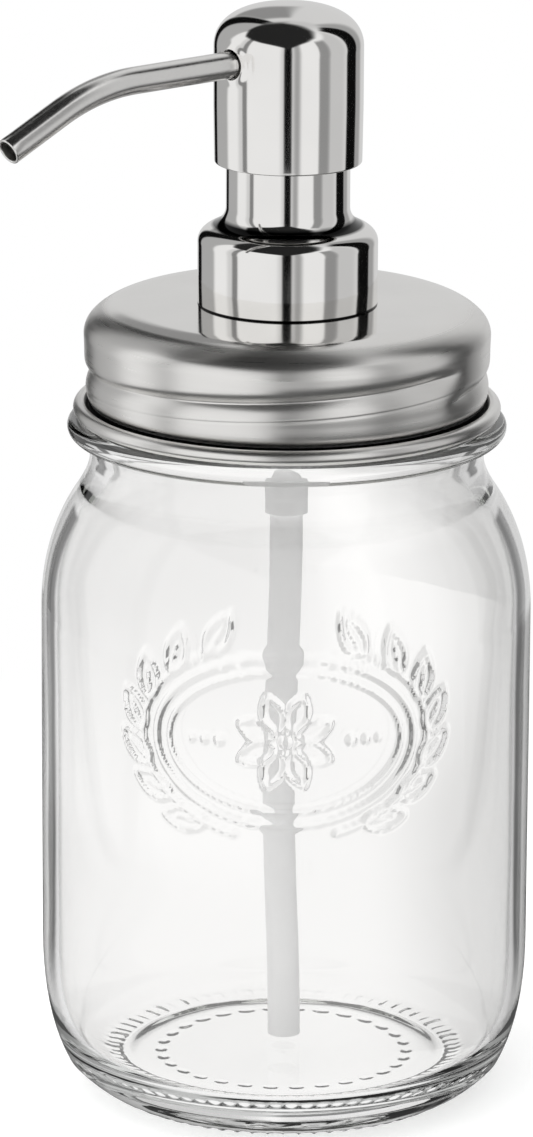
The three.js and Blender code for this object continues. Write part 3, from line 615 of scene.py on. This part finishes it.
def on_thread(z, angle, start_angle, sweep, start_height, fade):
    """How far above a screw line each place is, and a share that fades to 0 at the line's ends."""
    turn = np.mod(np.degrees(angle) - start_angle, 360.0)
    above = z - start_height - THREAD_LEAD * turn / 360.0
    return above, smooth(0, fade, turn) * (1 - smooth(sweep - fade, sweep, turn))


def jar_angles():
    """Angles round the jar, fine over the ornament and coarser behind."""
    fine = np.arange(-FRONT_TURN, FRONT_TURN, 0.5)
    coarse = np.arange(FRONT_TURN, 360 - FRONT_TURN, 1.35)
    return np.radians(np.concatenate([fine, coarse]) - 90.0)


def jar_outline():
    """Up the outside from the middle of the underside, over the rim, and down the inside."""
    taper = HEEL_TAPER / 2
    mid_radius, mid_height = JAR_RADIUS - SHOULDER_INSET, SHOULDER_START + SHOULDER_RISE
    bend, neck_bend = SHOULDER_START + SHOULDER_BEND, SHOULDER_END - NECK_BEND
    inner, inner_bend = JAR_RADIUS - JAR_WALL, bend - INNER_BEND_DROP
    bead_top = BEAD_HEIGHT + BEAD_RADIUS
    under_bead = bead_top - 2 * BEAD_HALF_HEIGHT
    path = Outline(0, PUNT_RISE).line(POLE_RING, PUNT_RISE)
    path.line(BASE_MARK_RADIUS - BASE_MARK_BAND, PUNT_RISE, 4)
    path.line(BASE_MARK_RADIUS + BASE_MARK_BAND, PUNT_RISE, 0.4)
    path.quad(PUNT_BEND, PUNT_RISE, PUNT_END, PUNT_LIP, 6)
    path.quad(FOOT_BEND, 0, FOOT_START, 0, 3).line(FOOT_RADIUS, 0, 0.45)
    path.quad((FOOT_RADIUS + HEEL_RADIUS) / 2, FOOT_RISE, HEEL_RADIUS, HEEL_HEIGHT, 18)
    path.quad(JAR_RADIUS, taper, JAR_RADIUS, HEEL_TAPER, 10)
    path.line(JAR_RADIUS, FRONT_LOW, 8).line(JAR_RADIUS, SHOULDER_START, 0.5)
    path.quad(JAR_RADIUS, bend, mid_radius, mid_height, 26)
    path.quad(NECK_RADIUS, neck_bend, NECK_RADIUS, SHOULDER_END, 7)
    path.line(NECK_RADIUS, under_bead - BEAD_FILLET)
    path.quad(NECK_RADIUS, under_bead - BEAD_FILLET / 10, NECK_RADIUS + BEAD_FOOT, under_bead, 3)
    path.arc(NECK_RADIUS + BEAD_MIDDLE, bead_top - BEAD_HALF_HEIGHT, BEAD_RADIUS, -78, 90, 12,
             BEAD_HALF_HEIGHT)
    path.line(FINISH_RADIUS + FINISH_FILLET, bead_top)
    path.quad(FINISH_RADIUS, bead_top, FINISH_RADIUS, bead_top + FINISH_FILLET, 3)
    path.line(FINISH_RADIUS, RIM - RIM_ROUND, 0.72)
    path.quad(FINISH_RADIUS, RIM, FINISH_RADIUS - RIM_ROUND, RIM, 4)
    path.line(THROAT_RADIUS + RIM_ROUND, RIM)
    path.quad(THROAT_RADIUS, RIM, THROAT_RADIUS, RIM - RIM_ROUND, 4)
    path.line(THROAT_RADIUS, SHOULDER_END, 8)
    path.quad(THROAT_RADIUS, neck_bend - INNER_BEND_DROP, mid_radius - JAR_WALL,
              mid_height - INNER_BEND_DROP, 8)
    path.quad(inner, inner_bend, inner, SHOULDER_START, 9)
    path.line(inner, HEEL_TAPER, 12)
    path.quad(inner, taper, INNER_HEEL, FLOOR + INNER_HEEL_RISE, 9)
    path.quad(INNER_HEEL - INNER_HEEL_RISE, FLOOR, INNER_HEEL - INNER_HEEL_ROUND, FLOOR, 12)
    path.line(POLE_RING, FLOOR + FLOOR_DOME, 6).line(0, FLOOR + FLOOR_DOME)
    return path


# The ridges of the base ring are of uneven depth and length
uneven = np.random.default_rng(11)
ridge_depths = uneven.uniform(0.45, 1.0, BASE_RIDGES)
ridge_lengths = uneven.uniform(0.0, 1.0, BASE_RIDGES)


def jar_push(r, z, angle):
    """The ornament, the screw ridges, the ridges of the base ring and the marks inside it."""
    from_front = np.degrees(np.mod(angle + np.pi / 2 + np.pi, 2 * np.pi) - np.pi)
    s = np.radians(from_front) * JAR_RADIUS
    step = np.zeros(r.shape)
    front = (r > JAR_RADIUS - FRONT_DEPTH) & (np.abs(from_front) < FRONT_TURN)
    front &= (z > FRONT_LOW - 1) & (z < FRONT_HIGH)
    step[front] = relief(s[front], z[front])
    thread = np.zeros(r.shape)
    for start in THREAD_STARTS:
        above, ends = on_thread(z, angle, start, JAR_SWEEP, THREAD_HEIGHT, JAR_THREAD_FADE)
        across = np.abs(above) / JAR_THREAD_HALF
        thread = np.maximum(thread, (1 - smooth(JAR_THREAD_CREST, 1, across)) * ends)
    finish = (np.abs(r - FINISH_RADIUS) < 0.1) & (z > BEAD_HEIGHT + 3) & (z < RIM - 0.8)
    step = np.where(finish, JAR_THREAD_DEPTH * thread, step)
    which = np.floor(np.mod(angle, 2 * np.pi) / (2 * np.pi) * BASE_RIDGES).astype(int) % BASE_RIDGES
    outer_edge = RIDGE_END + RIDGE_UNEVEN * ridge_lengths[which]
    ring = smooth(RIDGE_START, RIDGE_START + 1, r) * (1 - smooth(outer_edge - RIDGE_FADE, outer_edge, r))
    groove = np.abs(np.sin(angle * BASE_RIDGES / 2)) ** 0.7 * ridge_depths[which]
    depth = BASE_RIDGE_DEPTH * (1 - RIDGE_SHALLOW * smooth(*RIDGE_SHALLOW_SPAN, r))
    in_ring = (z < 4) & (r > RIDGE_START) & (r < RIDGE_END + 3)
    step = np.where(in_ring, -depth * ring * groove, step)
    spacing = 360 / BASE_MARKS
    beside = np.radians(np.mod(np.degrees(angle) + 90, spacing) - spacing / 2) * BASE_MARK_RADIUS
    from_mark = np.hypot(beside / BASE_MARK_STRETCH, r - BASE_MARK_RADIUS)
    mark = 1 - smooth(BASE_MARK_FLAT, BASE_MARK_EDGE, from_mark)
    return np.where((z < 2) & (r < PUNT_BEND), BASE_MARK_DEPTH * mark, step)


def make_jar():
    profile = jar_outline().array()[1:-1]
    return lattice("jar", turned_grid(profile, jar_angles(), jar_push), False, sharp=70)


# The lid's outside from its flat top to the crevice over the curled edge: radius, and height
# below the top
LID_SHAPE = [
    (26.0, 0.01), (28.2, 0.06), (30.0, 0.3), (31.6, 0.85), (33.0, 1.65), (34.0, 2.45), (34.75, 3.3),
    (35.2, 4.2), (35.4, 5.1), (35.39, 6.2), (35.34, 7.6), (35.33, 9.4), (35.37, 10.9), (35.33, 12.4),
    (35.2, 13.8), (35.12, 14.8), (35.0, 15.7), (34.78, 16.5), (34.5, 17.05)]


def resampled(points, gap):
    """The same line with a point at least every gap."""
    path = Outline(*points[0])
    for radius, height in points[1:]:
        path.line(radius, height, gap)
    return path.points


def inside_lid(radius, drop):
    """The place inside the sheet that belongs to a point of the lid's outside."""
    inward = LID_WALL if drop > 4 else LID_WALL * 0.8
    down = LID_WALL if drop < 3 else LID_WALL * 0.5 if drop < 5 else 0
    return radius - inward, LID_TOP - drop - down


def lid_outline():
    top, wall = LID_TOP, LID_WALL
    outside = resampled(through([(r, top - d) for r, d in LID_SHAPE], 5), 0.25)
    inside = [inside_lid(r, d) for r, d in LID_SHAPE]
    inside = resampled(through([p for p in inside if p[1] > CURL_HEIGHT + 1.6], 4), 0.4)
    path = Outline(LID_HOLE, top - wall)
    path.points += inside
    path.line(LID_OUTER - wall - 0.5, CURL_HEIGHT - 0.6).line(CURL_MIDDLE - 0.5, CURL_HEIGHT - 1.18)
    path.arc(CURL_MIDDLE, CURL_HEIGHT, CURL_RADIUS, -100, 160, 26)
    for radius, rise in CREVICE:
        path.line(radius, CURL_HEIGHT + rise)
    path.points += outside[::-1]
    path.line(LID_HOLE, top, 3).line(LID_HOLE, top - wall)
    return path


def lid_push(r, z, angle):
    """The thread pressed into the wall, a groove outside and a ridge inside: steep above its
    deepest line, longer below it, and ending there in a fine line."""
    dent = np.zeros(r.shape)
    for start in THREAD_STARTS:
        above, ends = on_thread(z, angle, start, LID_SWEEP, THREAD_HEIGHT - THREAD_DROP, GROOVE_FADE)
        upper = np.exp(-(np.maximum(above, 0) / GROOVE_ABOVE) ** 1.6)
        lower = np.clip(1 + above / GROOVE_BELOW, 0, 1) ** 1.9
        line = FINE_LINE_DEPTH * np.exp(-((above + GROOVE_BELOW) / FINE_LINE_HALF) ** 2)
        dent = np.maximum(dent, ends * (GROOVE_DEPTH * np.where(above > 0, upper, lower) + line))
    wall = (z > CURL_HEIGHT + 2.3) & (z < LID_TOP - 4.3) & (r > LID_OUTER - 1.3)
    return np.where(wall, np.where(r > LID_OUTER - 0.4, -dent, dent), 0.0)


def collar_outline():
    """Up the collar's side, over its crest and up the neck, and back down inside the shell."""
    r, w, foot, top = COLLAR_RADIUS, STEEL_WALL, collar_low.z, collar_high.z
    neck, bore = NECK_SHELL, NECK_SHELL - STEEL_WALL
    crest, inset = COLLAR_TOP + CREST_RISE, CREST_INSET
    bend = crest + (r - inset - neck) * SHOULDER_SLOPE
    path = Outline(r - w, foot).line(r - COLLAR_LIP, foot).quad(r, foot, r, foot + COLLAR_LIP, 3)
    path.line(r, COLLAR_TOP - CREST_DROP, 4)
    path.quad(r, crest - inset * SHOULDER_SLOPE, r - inset, crest, 18)
    path.quad(neck, bend, neck, NECK_FOOT, 18)
    path.line(neck, top, 5).line(bore, top).line(bore, NECK_FOOT, 5)
    path.quad(bore, bend - w, r - inset - 0.15, crest - w, 8)
    path.quad(r - w, crest - w - 0.9, r - w, COLLAR_TOP - CREST_DROP - 0.3, 8)
    path.line(r - w, foot)
    return path


def head_outline():
    """Down the outside from the top, round the lower edge, and up the inside."""
    r, w, top, low = HEAD_RADIUS, STEEL_WALL, HEAD_TOP, HEAD_BOTTOM
    dome, middle = top - DOME_HEIGHT, (low + top - DOME_HEIGHT) / 2
    corner, rim, edge = r - DOME_CORNER, r - RIM_INSET, 0.25
    path = Outline(0, top).line(HEAD_POLE, top - 0.001)
    side = Outline(HEAD_POLE, top).cubic(corner, top, r, dome + DOME_BULGE, r, dome, 48)
    path.points += side.points[1:]
    path.line(r, SPOUT_HEIGHT - 4.2, 0.3).line(r, middle, 1.5)
    path.line(rim + 0.01, low + 0.6, 3).line(rim, low + edge, 0.1).quad(rim, low, rim - edge, low, 4)
    path.line(rim - w + 0.1, low).line(rim - w, low + 0.1).line(r - w, middle, 3).line(r - w, dome, 3)
    path.cubic(r - w, dome + DOME_BULGE, corner - w, top - w, HEAD_POLE, top - w, 24).line(0, top - w)
    return path


def head_angles():
    """Angles round the head, fine at the spout's hole."""
    fine = np.arange(-22.0, 22.0, 1.0)
    coarse = np.arange(22.0, 338.0, 2.0)
    return np.radians(np.concatenate([fine, coarse]) + SPOUT_AZIMUTH)


def head_push(r, z, angle):
    """The wall turns in a little round the punched hole."""
    turn = np.mod(angle - math.radians(SPOUT_AZIMUTH) + np.pi, 2 * np.pi) - np.pi
    from_hole = np.hypot(turn * HEAD_RADIUS, z - SPOUT_HEIGHT) - SPOUT_HOLE
    near = (r > HEAD_RADIUS - 1.0) & (np.abs(turn) < PUNCH_TURN)
    return np.where(near, PUNCH_DEPTH * (smooth(0, PUNCH_REACH, from_hole) - 1), 0.0)


def make_head():
    """The head's shell with a hole for the spout."""
    profile = head_outline().array()[1:-1]
    shell = lattice("whole", turned_grid(profile, head_angles(), head_push), False)
    whole = in_scene("whole", shell)
    drill = Outline(0, DRILL_START).line(0.01, DRILL_START).line(SPOUT_HOLE, DRILL_START)
    drill.line(SPOUT_HOLE, DRILL_END).line(0.01, DRILL_END).line(0, DRILL_END)
    cutter = in_scene("cutter", turned("cutter", drill, 48, closed=False))
    cutter.rotation_euler = (0, math.radians(90), math.radians(SPOUT_AZIMUTH))
    cutter.location = (0, 0, SPOUT_HEIGHT * MM)
    cut = whole.modifiers.new("hole", "BOOLEAN")
    cut.operation, cut.object, cut.solver = "DIFFERENCE", cutter, "MANIFOLD"
    bpy.context.view_layer.update()
    mesh = bpy.data.meshes.new_from_object(whole.evaluated_get(bpy.context.evaluated_depsgraph_get()))
    mesh.name = "head"
    for obj in (whole, cutter):
        bpy.data.objects.remove(obj)
    mesh.materials.clear()
    mesh.shade_smooth()
    mesh.set_sharp_from_angle(angle=math.radians(40))
    return mesh


def spout_route():
    """(distance from the axis, drop, slope) along the spout's middle."""
    bend = math.radians(SPOUT_BEND)
    route = [(d, 0.0, 0.0) for d in np.linspace(SPOUT_START, SPOUT_BEND_START, 12)[:-1]]
    for turn in np.linspace(0, bend, 28):
        route.append((SPOUT_BEND_START + SPOUT_BEND_RADIUS * math.sin(turn),
                      -SPOUT_BEND_RADIUS * (1 - math.cos(turn)), turn))
    last_along, last_drop, _ = route[-1]
    for share in np.linspace(0, 1, 7)[1:]:
        along = (SPOUT_REACH - last_along) * share
        route.append((last_along + along, last_drop - along * math.tan(bend), bend))
    return route


def spout_rings(radius_at):
    azimuth, turns = math.radians(SPOUT_AZIMUTH), even_angles(64)
    rings = []
    for along, drop, slope, radius in radius_at:
        up = radius * np.cos(turns)
        x = along + up * math.sin(slope)
        y = radius * np.sin(turns)
        z = SPOUT_HEIGHT + drop + up * math.cos(slope)
        rings.append(np.stack([x * math.cos(azimuth) - y * math.sin(azimuth),
                               x * math.sin(azimuth) + y * math.cos(azimuth), z], -1))
    return rings


def make_spout():
    """A bent tube with a rounded lip at its open end."""
    route = spout_route()
    bore, lip = SPOUT_RADIUS - SPOUT_WALL, SPOUT_LIP
    end_along, end_drop, slope = route[-1]
    outer = [(a, d, t, SPOUT_RADIUS) for a, d, t in route[:-1]]
    inner = [(a, d, t, bore) for a, d, t in route[:-1]]
    rim = []
    for angle in np.radians(np.linspace(0, 180, 9)):
        middle = (SPOUT_RADIUS + bore) / 2
        flat = SPOUT_WALL / 2 - lip
        side = math.copysign(1, math.cos(angle)) if abs(math.cos(angle)) > 1e-6 else 0
        radius = middle + side * flat + lip * math.cos(angle)
        back = lip * (1 - math.sin(angle))
        rim.append((
            end_along - back * math.cos(slope), end_drop + back * math.sin(slope), slope, radius))
    return lattice("spout", np.array(spout_rings(outer + rim + inner[::-1])), True, sharp=50)


def make_dip_tube():
    """A plain tube that bows a little towards -X below the housing."""
    foot, straight, turns = dip_low.z, housing_low.z - TUBE_STRAIGHT, even_angles(40)

    def rings(size):
        made = []
        for height in np.linspace(dip_high.z, foot, 60):
            share = np.clip((straight - height) / (straight - foot), 0, 1)
            shift = -TUBE_BOW * math.sin(math.pi * share) ** 2
            made.append(np.stack([
                shift + size * np.cos(turns), size * np.sin(turns), np.full(40, height)], -1))
        return made

    grid = rings(TUBE_RADIUS) + rings(TUBE_RADIUS - TUBE_WALL)[::-1]
    return lattice("dip_tube", np.array(grid), True, sharp=50)


def housing_outline():
    """Up the outside from the socket's lower edge, over the flange, and down the bore."""
    top, low, edge = housing_high.z, housing_low.z, 0.15
    socket, bore, barrel, barrel_bore, flange, chamber, seat = 3.7, 2.95, 7.4, 6.2, 11.0, 2.9, 1.5
    flange_low, bottom, tube_stop = top - 1.2, top - 36.9, low + 6.7
    cone, spring_seat, chamber_foot, seat_foot = bottom - 3.0, 120.09, 117.2, 115.2
    path = Outline(bore + edge, low).line(socket - edge, low).quad(socket, low, socket, low + edge, 3)
    path.line(socket, cone - 0.6, 2).quad(socket, cone, socket + 0.8, cone + 0.6, 5)
    path.line(barrel - 0.6, bottom - 0.5).quad(barrel, bottom, barrel, bottom + 0.6, 5)
    path.line(barrel, flange_low, 6).line(flange, flange_low).line(flange, top).line(barrel_bore, top)
    path.line(barrel_bore, spring_seat).line(chamber, spring_seat).line(chamber, chamber_foot)
    path.line(seat, seat_foot).line(seat, tube_stop).line(bore, tube_stop).line(bore, low + edge)
    return path.line(bore + edge, low)


def make_spring(low, high):
    """The return spring's round wire, rising evenly between two heights."""
    step = 48
    turns = np.arange(SPRING_TURNS * step + 1)
    angle = 2 * np.pi * turns / step
    middle = np.linspace(low + SPRING_WIRE / 2, high - SPRING_WIRE / 2, len(turns))
    side, angle = even_angles(12)[None, :], angle[:, None]
    radius = SPRING_RADIUS + SPRING_WIRE / 2 * np.cos(side) + 0 * angle
    height = middle[:, None] + SPRING_WIRE / 2 * np.sin(side)
    grid = np.stack([radius * np.cos(angle), radius * np.sin(angle), height], -1)
    return lattice("spring", grid, False, sharp=60)


lid_mesh = turned("lid", lid_outline(), 256, push=lid_push, sharp=60)
collar_mesh = turned("collar", collar_outline(), 128)
housing_mesh = turned("housing", housing_outline(), 96)
piece("jar", make_jar(), "jar", glass, "glass_jar")
piece("lid", lid_mesh, "lid", lid_steel, "screw_lid")
piece("collar", collar_mesh, "lid", collar_steel, "collar_cover")
piece("head", make_head(), "head", pump_steel, "head_shell")
piece("spout", make_spout(), "head", spout_steel, "spout_tube")
piece("dip_pipe", make_dip_tube(), "lid", frosted_plastic, "dip_tube")
piece("housing", housing_mesh, "lid", frosted_plastic, "pump_housing")

# The spring stands a hair short of its plug
spring_low, spring_high = span("return_spring")
spring_top = spring_high.z - SPRING_GAP
spring_mesh = make_spring(spring_low.z, spring_top)
spring = piece("spring", spring_mesh, "lid", wire_steel, "return_spring")
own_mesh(spring)

# The pieces that keep their CAD form
for finish, nodes in (
        (silicone, "lid_liner bush_gasket housing_gasket piston spout_seal"),
        (white_plastic, "neck_bush pump_closure lock_ring ball_cage stem stem_plug head_core"),
        (wire_steel, "inlet_ball outlet_ball")):
    for node in nodes.split():
        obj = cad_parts[node]
        obj.data.materials.clear()
        obj.data.materials.append(finish)

# The studio: a small white table, a tent of pale panels round it that only reflections and
# refractions see, and one soft lamp overhead. Its sizes are in metres.
CAMERA_PLACE = (0, -1.16, 0.42224)
CAMERA_AIM = (-0.00344, 0, 0.0946)
CAMERA_ROLL = 0.25
LAMP_PLACE = (-0.25, -0.2, 1.25)
LAMP_AIM = (0, 0, 0.1)
TABLE_RADIUS = 0.36
TENT_RADIUS = 1.6
TENT_HEIGHT = 0.17

# The upright strips of the tent: middle and half width in degrees, tone on screen, and how soft the
# edges are. Azimuth 0 is the camera's side and + is to the right; a later strip hides an earlier one.
CLOTH_TONE = 0.8
STRIPS = [
    (-128, 20, 0.65, 8), (-40, 28, 0.9, 8), (-95, 12, 0.9, 8), (-71, 4, 0.5, 3), (30, 22, 0.9, 8),
    (58, 10, 0.55, 4), (80, 14, 0.75, 10), (132, 10, 0.6, 12), (13, 5, 0.62, 8), (-152, 8, 0.05, 5),
    (-1, 5.5, 0.05, 4), (113, 12, 0.05, 4)]
# The pale gap below the front strip: its tone, half width and top
GAP_TONE, GAP_EDGE, GAP_TOP = 0.82, (9, 13), (-15.8, -15.2)
# The dark floor, left and right of an azimuth: the tent is dark below an elevation, and the table
# within a distance
BELOW = 0.3
FLOOR_SPLIT, FLOOR_LEFT, FLOOR_RIGHT, FLOOR_SOFT = 4, -38.0, -22.0, (-6, 3)
RIM_LEFT, RIM_RIGHT, RIM_SOFT = 0.19, 0.32, 0.03
# The sky's lower edge, and its tone in front and behind
SKY_LOW_FRONT, SKY_LOW_RISE, SKY_SOFT = 42.0, 18.0, 5
SKY_FRONT, SKY_BACK = 0.9, 0.75
# A grey panel in the sky behind: azimuth, tone, half width, lower and upper edge
PANEL_AZIMUTH, PANEL_TONE, PANEL_SIDE, PANEL_LOW, PANEL_HIGH = -171, 0.54, (8, 12), (16, 22), (46, 54)
STEEL_MIRROR = 0.92

# The dark opening in the tent's roof, on a flat plan with the zenith at its middle and 1 at 45
# degrees: how far back a row is, and its left and right end. It runs into the front strip.
ROOF_OPENING = [
    (-2.3, -0.1, 0.08), (-1.9, -0.18, 0.12), (-1.2, -0.7, 0.4), (-0.8, -1.0, 0.57), (-0.4, -1.15, 0.6),
    (0.0, -1.15, 0.4), (0.3, -0.7, 0.1), (0.45, -0.3, -0.1)]
OPENING_TONE, OPENING_SOFT, OPENING_LOW = 0.14, (-0.14, 0.12), 10

# Behind the jar stands a dark card on each side. Its edges are in metres aside for each metre
# behind the jar; it starts near the jar and ends at eye level.
CARD_TONE, CARD_INNER, CARD_OUTER = 0.2, (0.36, 0.44), (0.66, 0.8)
CARD_NEAR, CARD_START, CARD_TOP = 0.3, (0.03, 0.07), (-0.05, 0.15)
# The backdrop is greyer far off, but for a pale strip behind the tube, and greyer at the right
FAR, FAR_GREY, STRIP_LIGHT, STRIP_MIDDLE, STRIP_WIDTH = (0.14, 0.36), 0.14, 0.18, 0.02, 0.018
SIDE_GREY, SIDE_START, SIDE_END = 0.23, (0.012, 0.018), (0.036, 0.074)


def light(tone):
    """The light that gives a tone on screen."""
    tone = np.asarray(tone, float)
    return np.where(tone <= 0.04045, tone / 12.92, ((tone + 0.055) / 1.055) ** 2.4)


def turned_aside(azimuth, middle):
    """How many degrees an azimuth lies to either side of another."""
    return np.abs(np.mod(azimuth - middle + 180, 360) - 180)


def belt_tone(azimuth):
    """The tone of the tent's upright strips."""
    tone = np.full(np.shape(azimuth), CLOTH_TONE)
    for middle, half, value, soft in STRIPS:
        aside = turned_aside(azimuth, middle)
        tone = tone + (value - tone) * (1 - smooth(half - soft / 2, half + soft / 2, aside))
    return tone


def steel_tone(azimuth, elevation):
    """What the steel sees: the belt of panels, a paler sky above it and a darker floor below."""
    tone = belt_tone(azimuth)
    gap = (1 - smooth(*GAP_EDGE, np.abs(azimuth))) * (1 - smooth(*GAP_TOP, elevation))
    tone = tone + (GAP_TONE - tone) * gap
    low = np.where(azimuth > FLOOR_SPLIT, FLOOR_RIGHT, FLOOR_LEFT)
    tone = tone + (BELOW - tone) * (1 - smooth(low + FLOOR_SOFT[0], low + FLOOR_SOFT[1], elevation))
    top = SKY_LOW_FRONT + SKY_LOW_RISE * smooth(60, 100, np.abs(azimuth))
    sky = SKY_FRONT + (SKY_BACK - SKY_FRONT) * smooth(60, 150, np.abs(azimuth))
    tone = tone + (sky - tone) * smooth(top - SKY_SOFT, top + SKY_SOFT, elevation)
    panel = 1 - smooth(*PANEL_SIDE, turned_aside(azimuth, PANEL_AZIMUTH))
    panel = panel * smooth(*PANEL_LOW, elevation) * (1 - smooth(*PANEL_HIGH, elevation))
    tone = tone + (PANEL_TONE - tone) * panel
    out = 1 / np.tan(np.radians(np.clip(elevation, 1, 89.9)))
    across, back = out * np.sin(np.radians(azimuth)), -out * np.cos(np.radians(azimuth))
    rows, left, right = np.array(ROOF_OPENING).T
    inward = np.minimum(across - np.interp(back, rows, left), np.interp(back, rows, right) - across)
    inward = np.minimum(inward, np.minimum(back - rows[0], rows[-1] - back))
    return tone + (OPENING_TONE - tone) * smooth(*OPENING_SOFT, inward) * (elevation > OPENING_LOW)


def glass_light(x, y, z):
    """What the glass sees behind it: the pale backdrop and the dark cards."""
    aside = (np.abs(x) - JAR_RADIUS * MM) / np.maximum(y, 1e-4)
    card = smooth(*CARD_INNER, aside) * (1 - smooth(*CARD_OUTER, aside)) * (y > 0)
    card = card * (CARD_NEAR + (1 - CARD_NEAR) * smooth(*CARD_START, y))
    card = card * (1 - smooth(*CARD_TOP, z - TENT_HEIGHT))
    sideways, far = x / (y - CAMERA_PLACE[1]), smooth(*FAR, y)
    strip = STRIP_LIGHT * np.exp(-((sideways - STRIP_MIDDLE) / STRIP_WIDTH) ** 2)
    pale = 1.0 - (FAR_GREY - strip) * far
    side = smooth(SIDE_START[0] + SIDE_START[1] * far, SIDE_END[0] + SIDE_END[1] * far, sideways)
    return (pale * (1 - card) + CARD_TONE * card) * (1 - SIDE_GREY * side * (y > 0))


def lit_by(mesh, **values):
    """Stores a light for each point of a mesh."""
    for key, value in values.items():
        held = mesh.attributes.new(key, "FLOAT", "POINT")
        held.data.foreach_set("value", np.asarray(value, np.float32).ravel())


def sheet_mesh(name, points):
    """A mesh of quads on a grid of points in metres, whose rows run right round."""
    rows, cols = points.shape[:2]
    index = np.arange(rows * cols).reshape(rows, cols)
    index = np.concatenate([index, index[:, :1]], 1)
    quads = np.stack([index[:-1, :-1], index[:-1, 1:], index[1:, 1:], index[1:, :-1]], -1)
    mesh = bpy.data.meshes.new(name)
    mesh.from_pydata(points.reshape(-1, 3).tolist(), [], quads.reshape(-1, 4).tolist())
    return mesh


def studio_piece(name, mesh, finish):
    finish.material.cycles.emission_sampling = "NONE"
    mesh.materials.append(finish.material)
    obj = in_scene(name, mesh)
    return obj


def seen_light(f, through_path):
    """A light that is one thing for steel and another through glass."""
    glow = f.node("ShaderNodeAttribute", attribute_name="glow").outputs["Fac"]
    clear = f.node("ShaderNodeAttribute", attribute_name="clear").outputs["Fac"]
    value = f.node("ShaderNodeMix", {0: through_path, 2: glow, 3: clear}, data_type="FLOAT")
    return f.glow(value.outputs[0])


def make_tent():
    a, e = np.meshgrid(np.arange(-180.0, 180.0, 1.0), np.arange(-50.0, 90.1, 1.0))
    ar, er = np.radians(a), np.radians(e)
    points = np.stack([np.sin(ar) * np.cos(er), -np.cos(ar) * np.cos(er), np.sin(er)], -1) * TENT_RADIUS
    points[..., 2] += TENT_HEIGHT
    mesh = sheet_mesh("tent", points)
    clear = glass_light(points[..., 0], points[..., 1], points[..., 2])
    lit_by(mesh, glow=light(steel_tone(a, e)) / STEEL_MIRROR, clear=clear)
    f = Finish("tent_cloth")
    path = f.node("ShaderNodeLightPath").outputs["Is Transmission Ray"]
    f.show(seen_light(f, path))
    obj = studio_piece("studio_tent", mesh, f)
    obj.visible_camera = obj.visible_diffuse = obj.visible_shadow = False


def make_table():
    """The white table top. The camera and the lamp's light see it lit, with the shadow on it."""
    radii = np.concatenate([[0.0005], np.arange(0.006, TABLE_RADIUS + 1e-6, 0.006)])
    angles = even_angles(240)
    r, a = np.meshgrid(radii, angles, indexing="ij")
    points = np.stack([r * np.cos(a), r * np.sin(a), 0 * r], -1)
    x, y = points[..., 0], points[..., 1]
    azimuth = np.degrees(np.arctan2(x, -y))
    rim = np.where(azimuth > FLOOR_SPLIT, RIM_RIGHT, RIM_LEFT)
    tone = BELOW + (belt_tone(azimuth) - BELOW) * smooth(rim - RIM_SOFT, rim + RIM_SOFT, r)
    mesh = sheet_mesh("table", points)
    lit_by(mesh, glow=light(tone) / STEEL_MIRROR, clear=glass_light(x, y, points[..., 2]))
    f = Finish("table_top")
    cloud = f.ranged(f.noise((14, 14, 14), detail=2.0), 0, 1)
    colour = f.blend(cloud, (0.8, 0.8, 0.8, 1), (0.82, 0.82, 0.82, 1))
    plain = f.node("ShaderNodeBsdfDiffuse", {"Color": colour}).outputs["BSDF"]
    path = f.node("ShaderNodeLightPath").outputs
    lifted = f.node("ShaderNodeAddShader", {0: plain, 1: f.glow(0.3)}).outputs["Shader"]
    place = f.node("ShaderNodeTexCoord").outputs["Object"]
    away = f.node("ShaderNodeVectorMath", {0: place}, operation="LENGTH").outputs["Value"]
    far = f.ranged(away, 0, 1, 0.1, 0.26, "SMOOTHSTEP")
    bright = f.either(path["Is Camera Ray"], plain, f.either(far, lifted, f.glow(1.0)))
    f.show(f.either(path["Is Glossy Ray"], bright, seen_light(f, path["Is Transmission Ray"])))
    studio_piece("table", mesh, f)


def make_world():
    """A soft white room, and plain white behind everything for the camera."""
    f = Finish("studio", bpy.data.worlds, "ShaderNodeOutputWorld")
    room, seen = (
        f.node("ShaderNodeBackground", {"Color": (1, 1, 1, 1), "Strength": strength}).outputs[0]
        for strength in (0.85, 1.0))
    f.show(f.either(f.node("ShaderNodeLightPath").outputs["Is Camera Ray"], room, seen))
    bpy.context.scene.world = f.material


def make_lamp():
    lamp = bpy.data.lights.new("overhead", "AREA")
    lamp.shape, lamp.size, lamp.energy = "DISK", 0.9, 9.0
    obj = in_scene("overhead", lamp)
    obj.location = LAMP_PLACE
    obj.rotation_euler = (Vector(LAMP_AIM) - obj.location).to_track_quat("-Z", "Y").to_euler()
    obj.visible_glossy = obj.visible_transmission = False


def make_camera():
    data = bpy.data.cameras.new("camera")
    data.sensor_width, data.lens = 36.0, 217.36
    data.clip_start, data.clip_end = 0.05, 50.0
    obj = in_scene("camera", data)
    obj.location = CAMERA_PLACE
    aim = Vector(CAMERA_AIM) - obj.location
    roll = Quaternion((0, 0, 1), math.radians(CAMERA_ROLL))
    obj.rotation_mode = "QUATERNION"
    obj.rotation_quaternion = aim.to_track_quat("-Z", "Y") @ roll
    bpy.context.scene.camera = obj


make_tent()
make_table()
make_world()
make_lamp()
make_camera()
bpy.context.scene.view_settings.view_transform = "Standard"

bpy.context.view_layer.update()
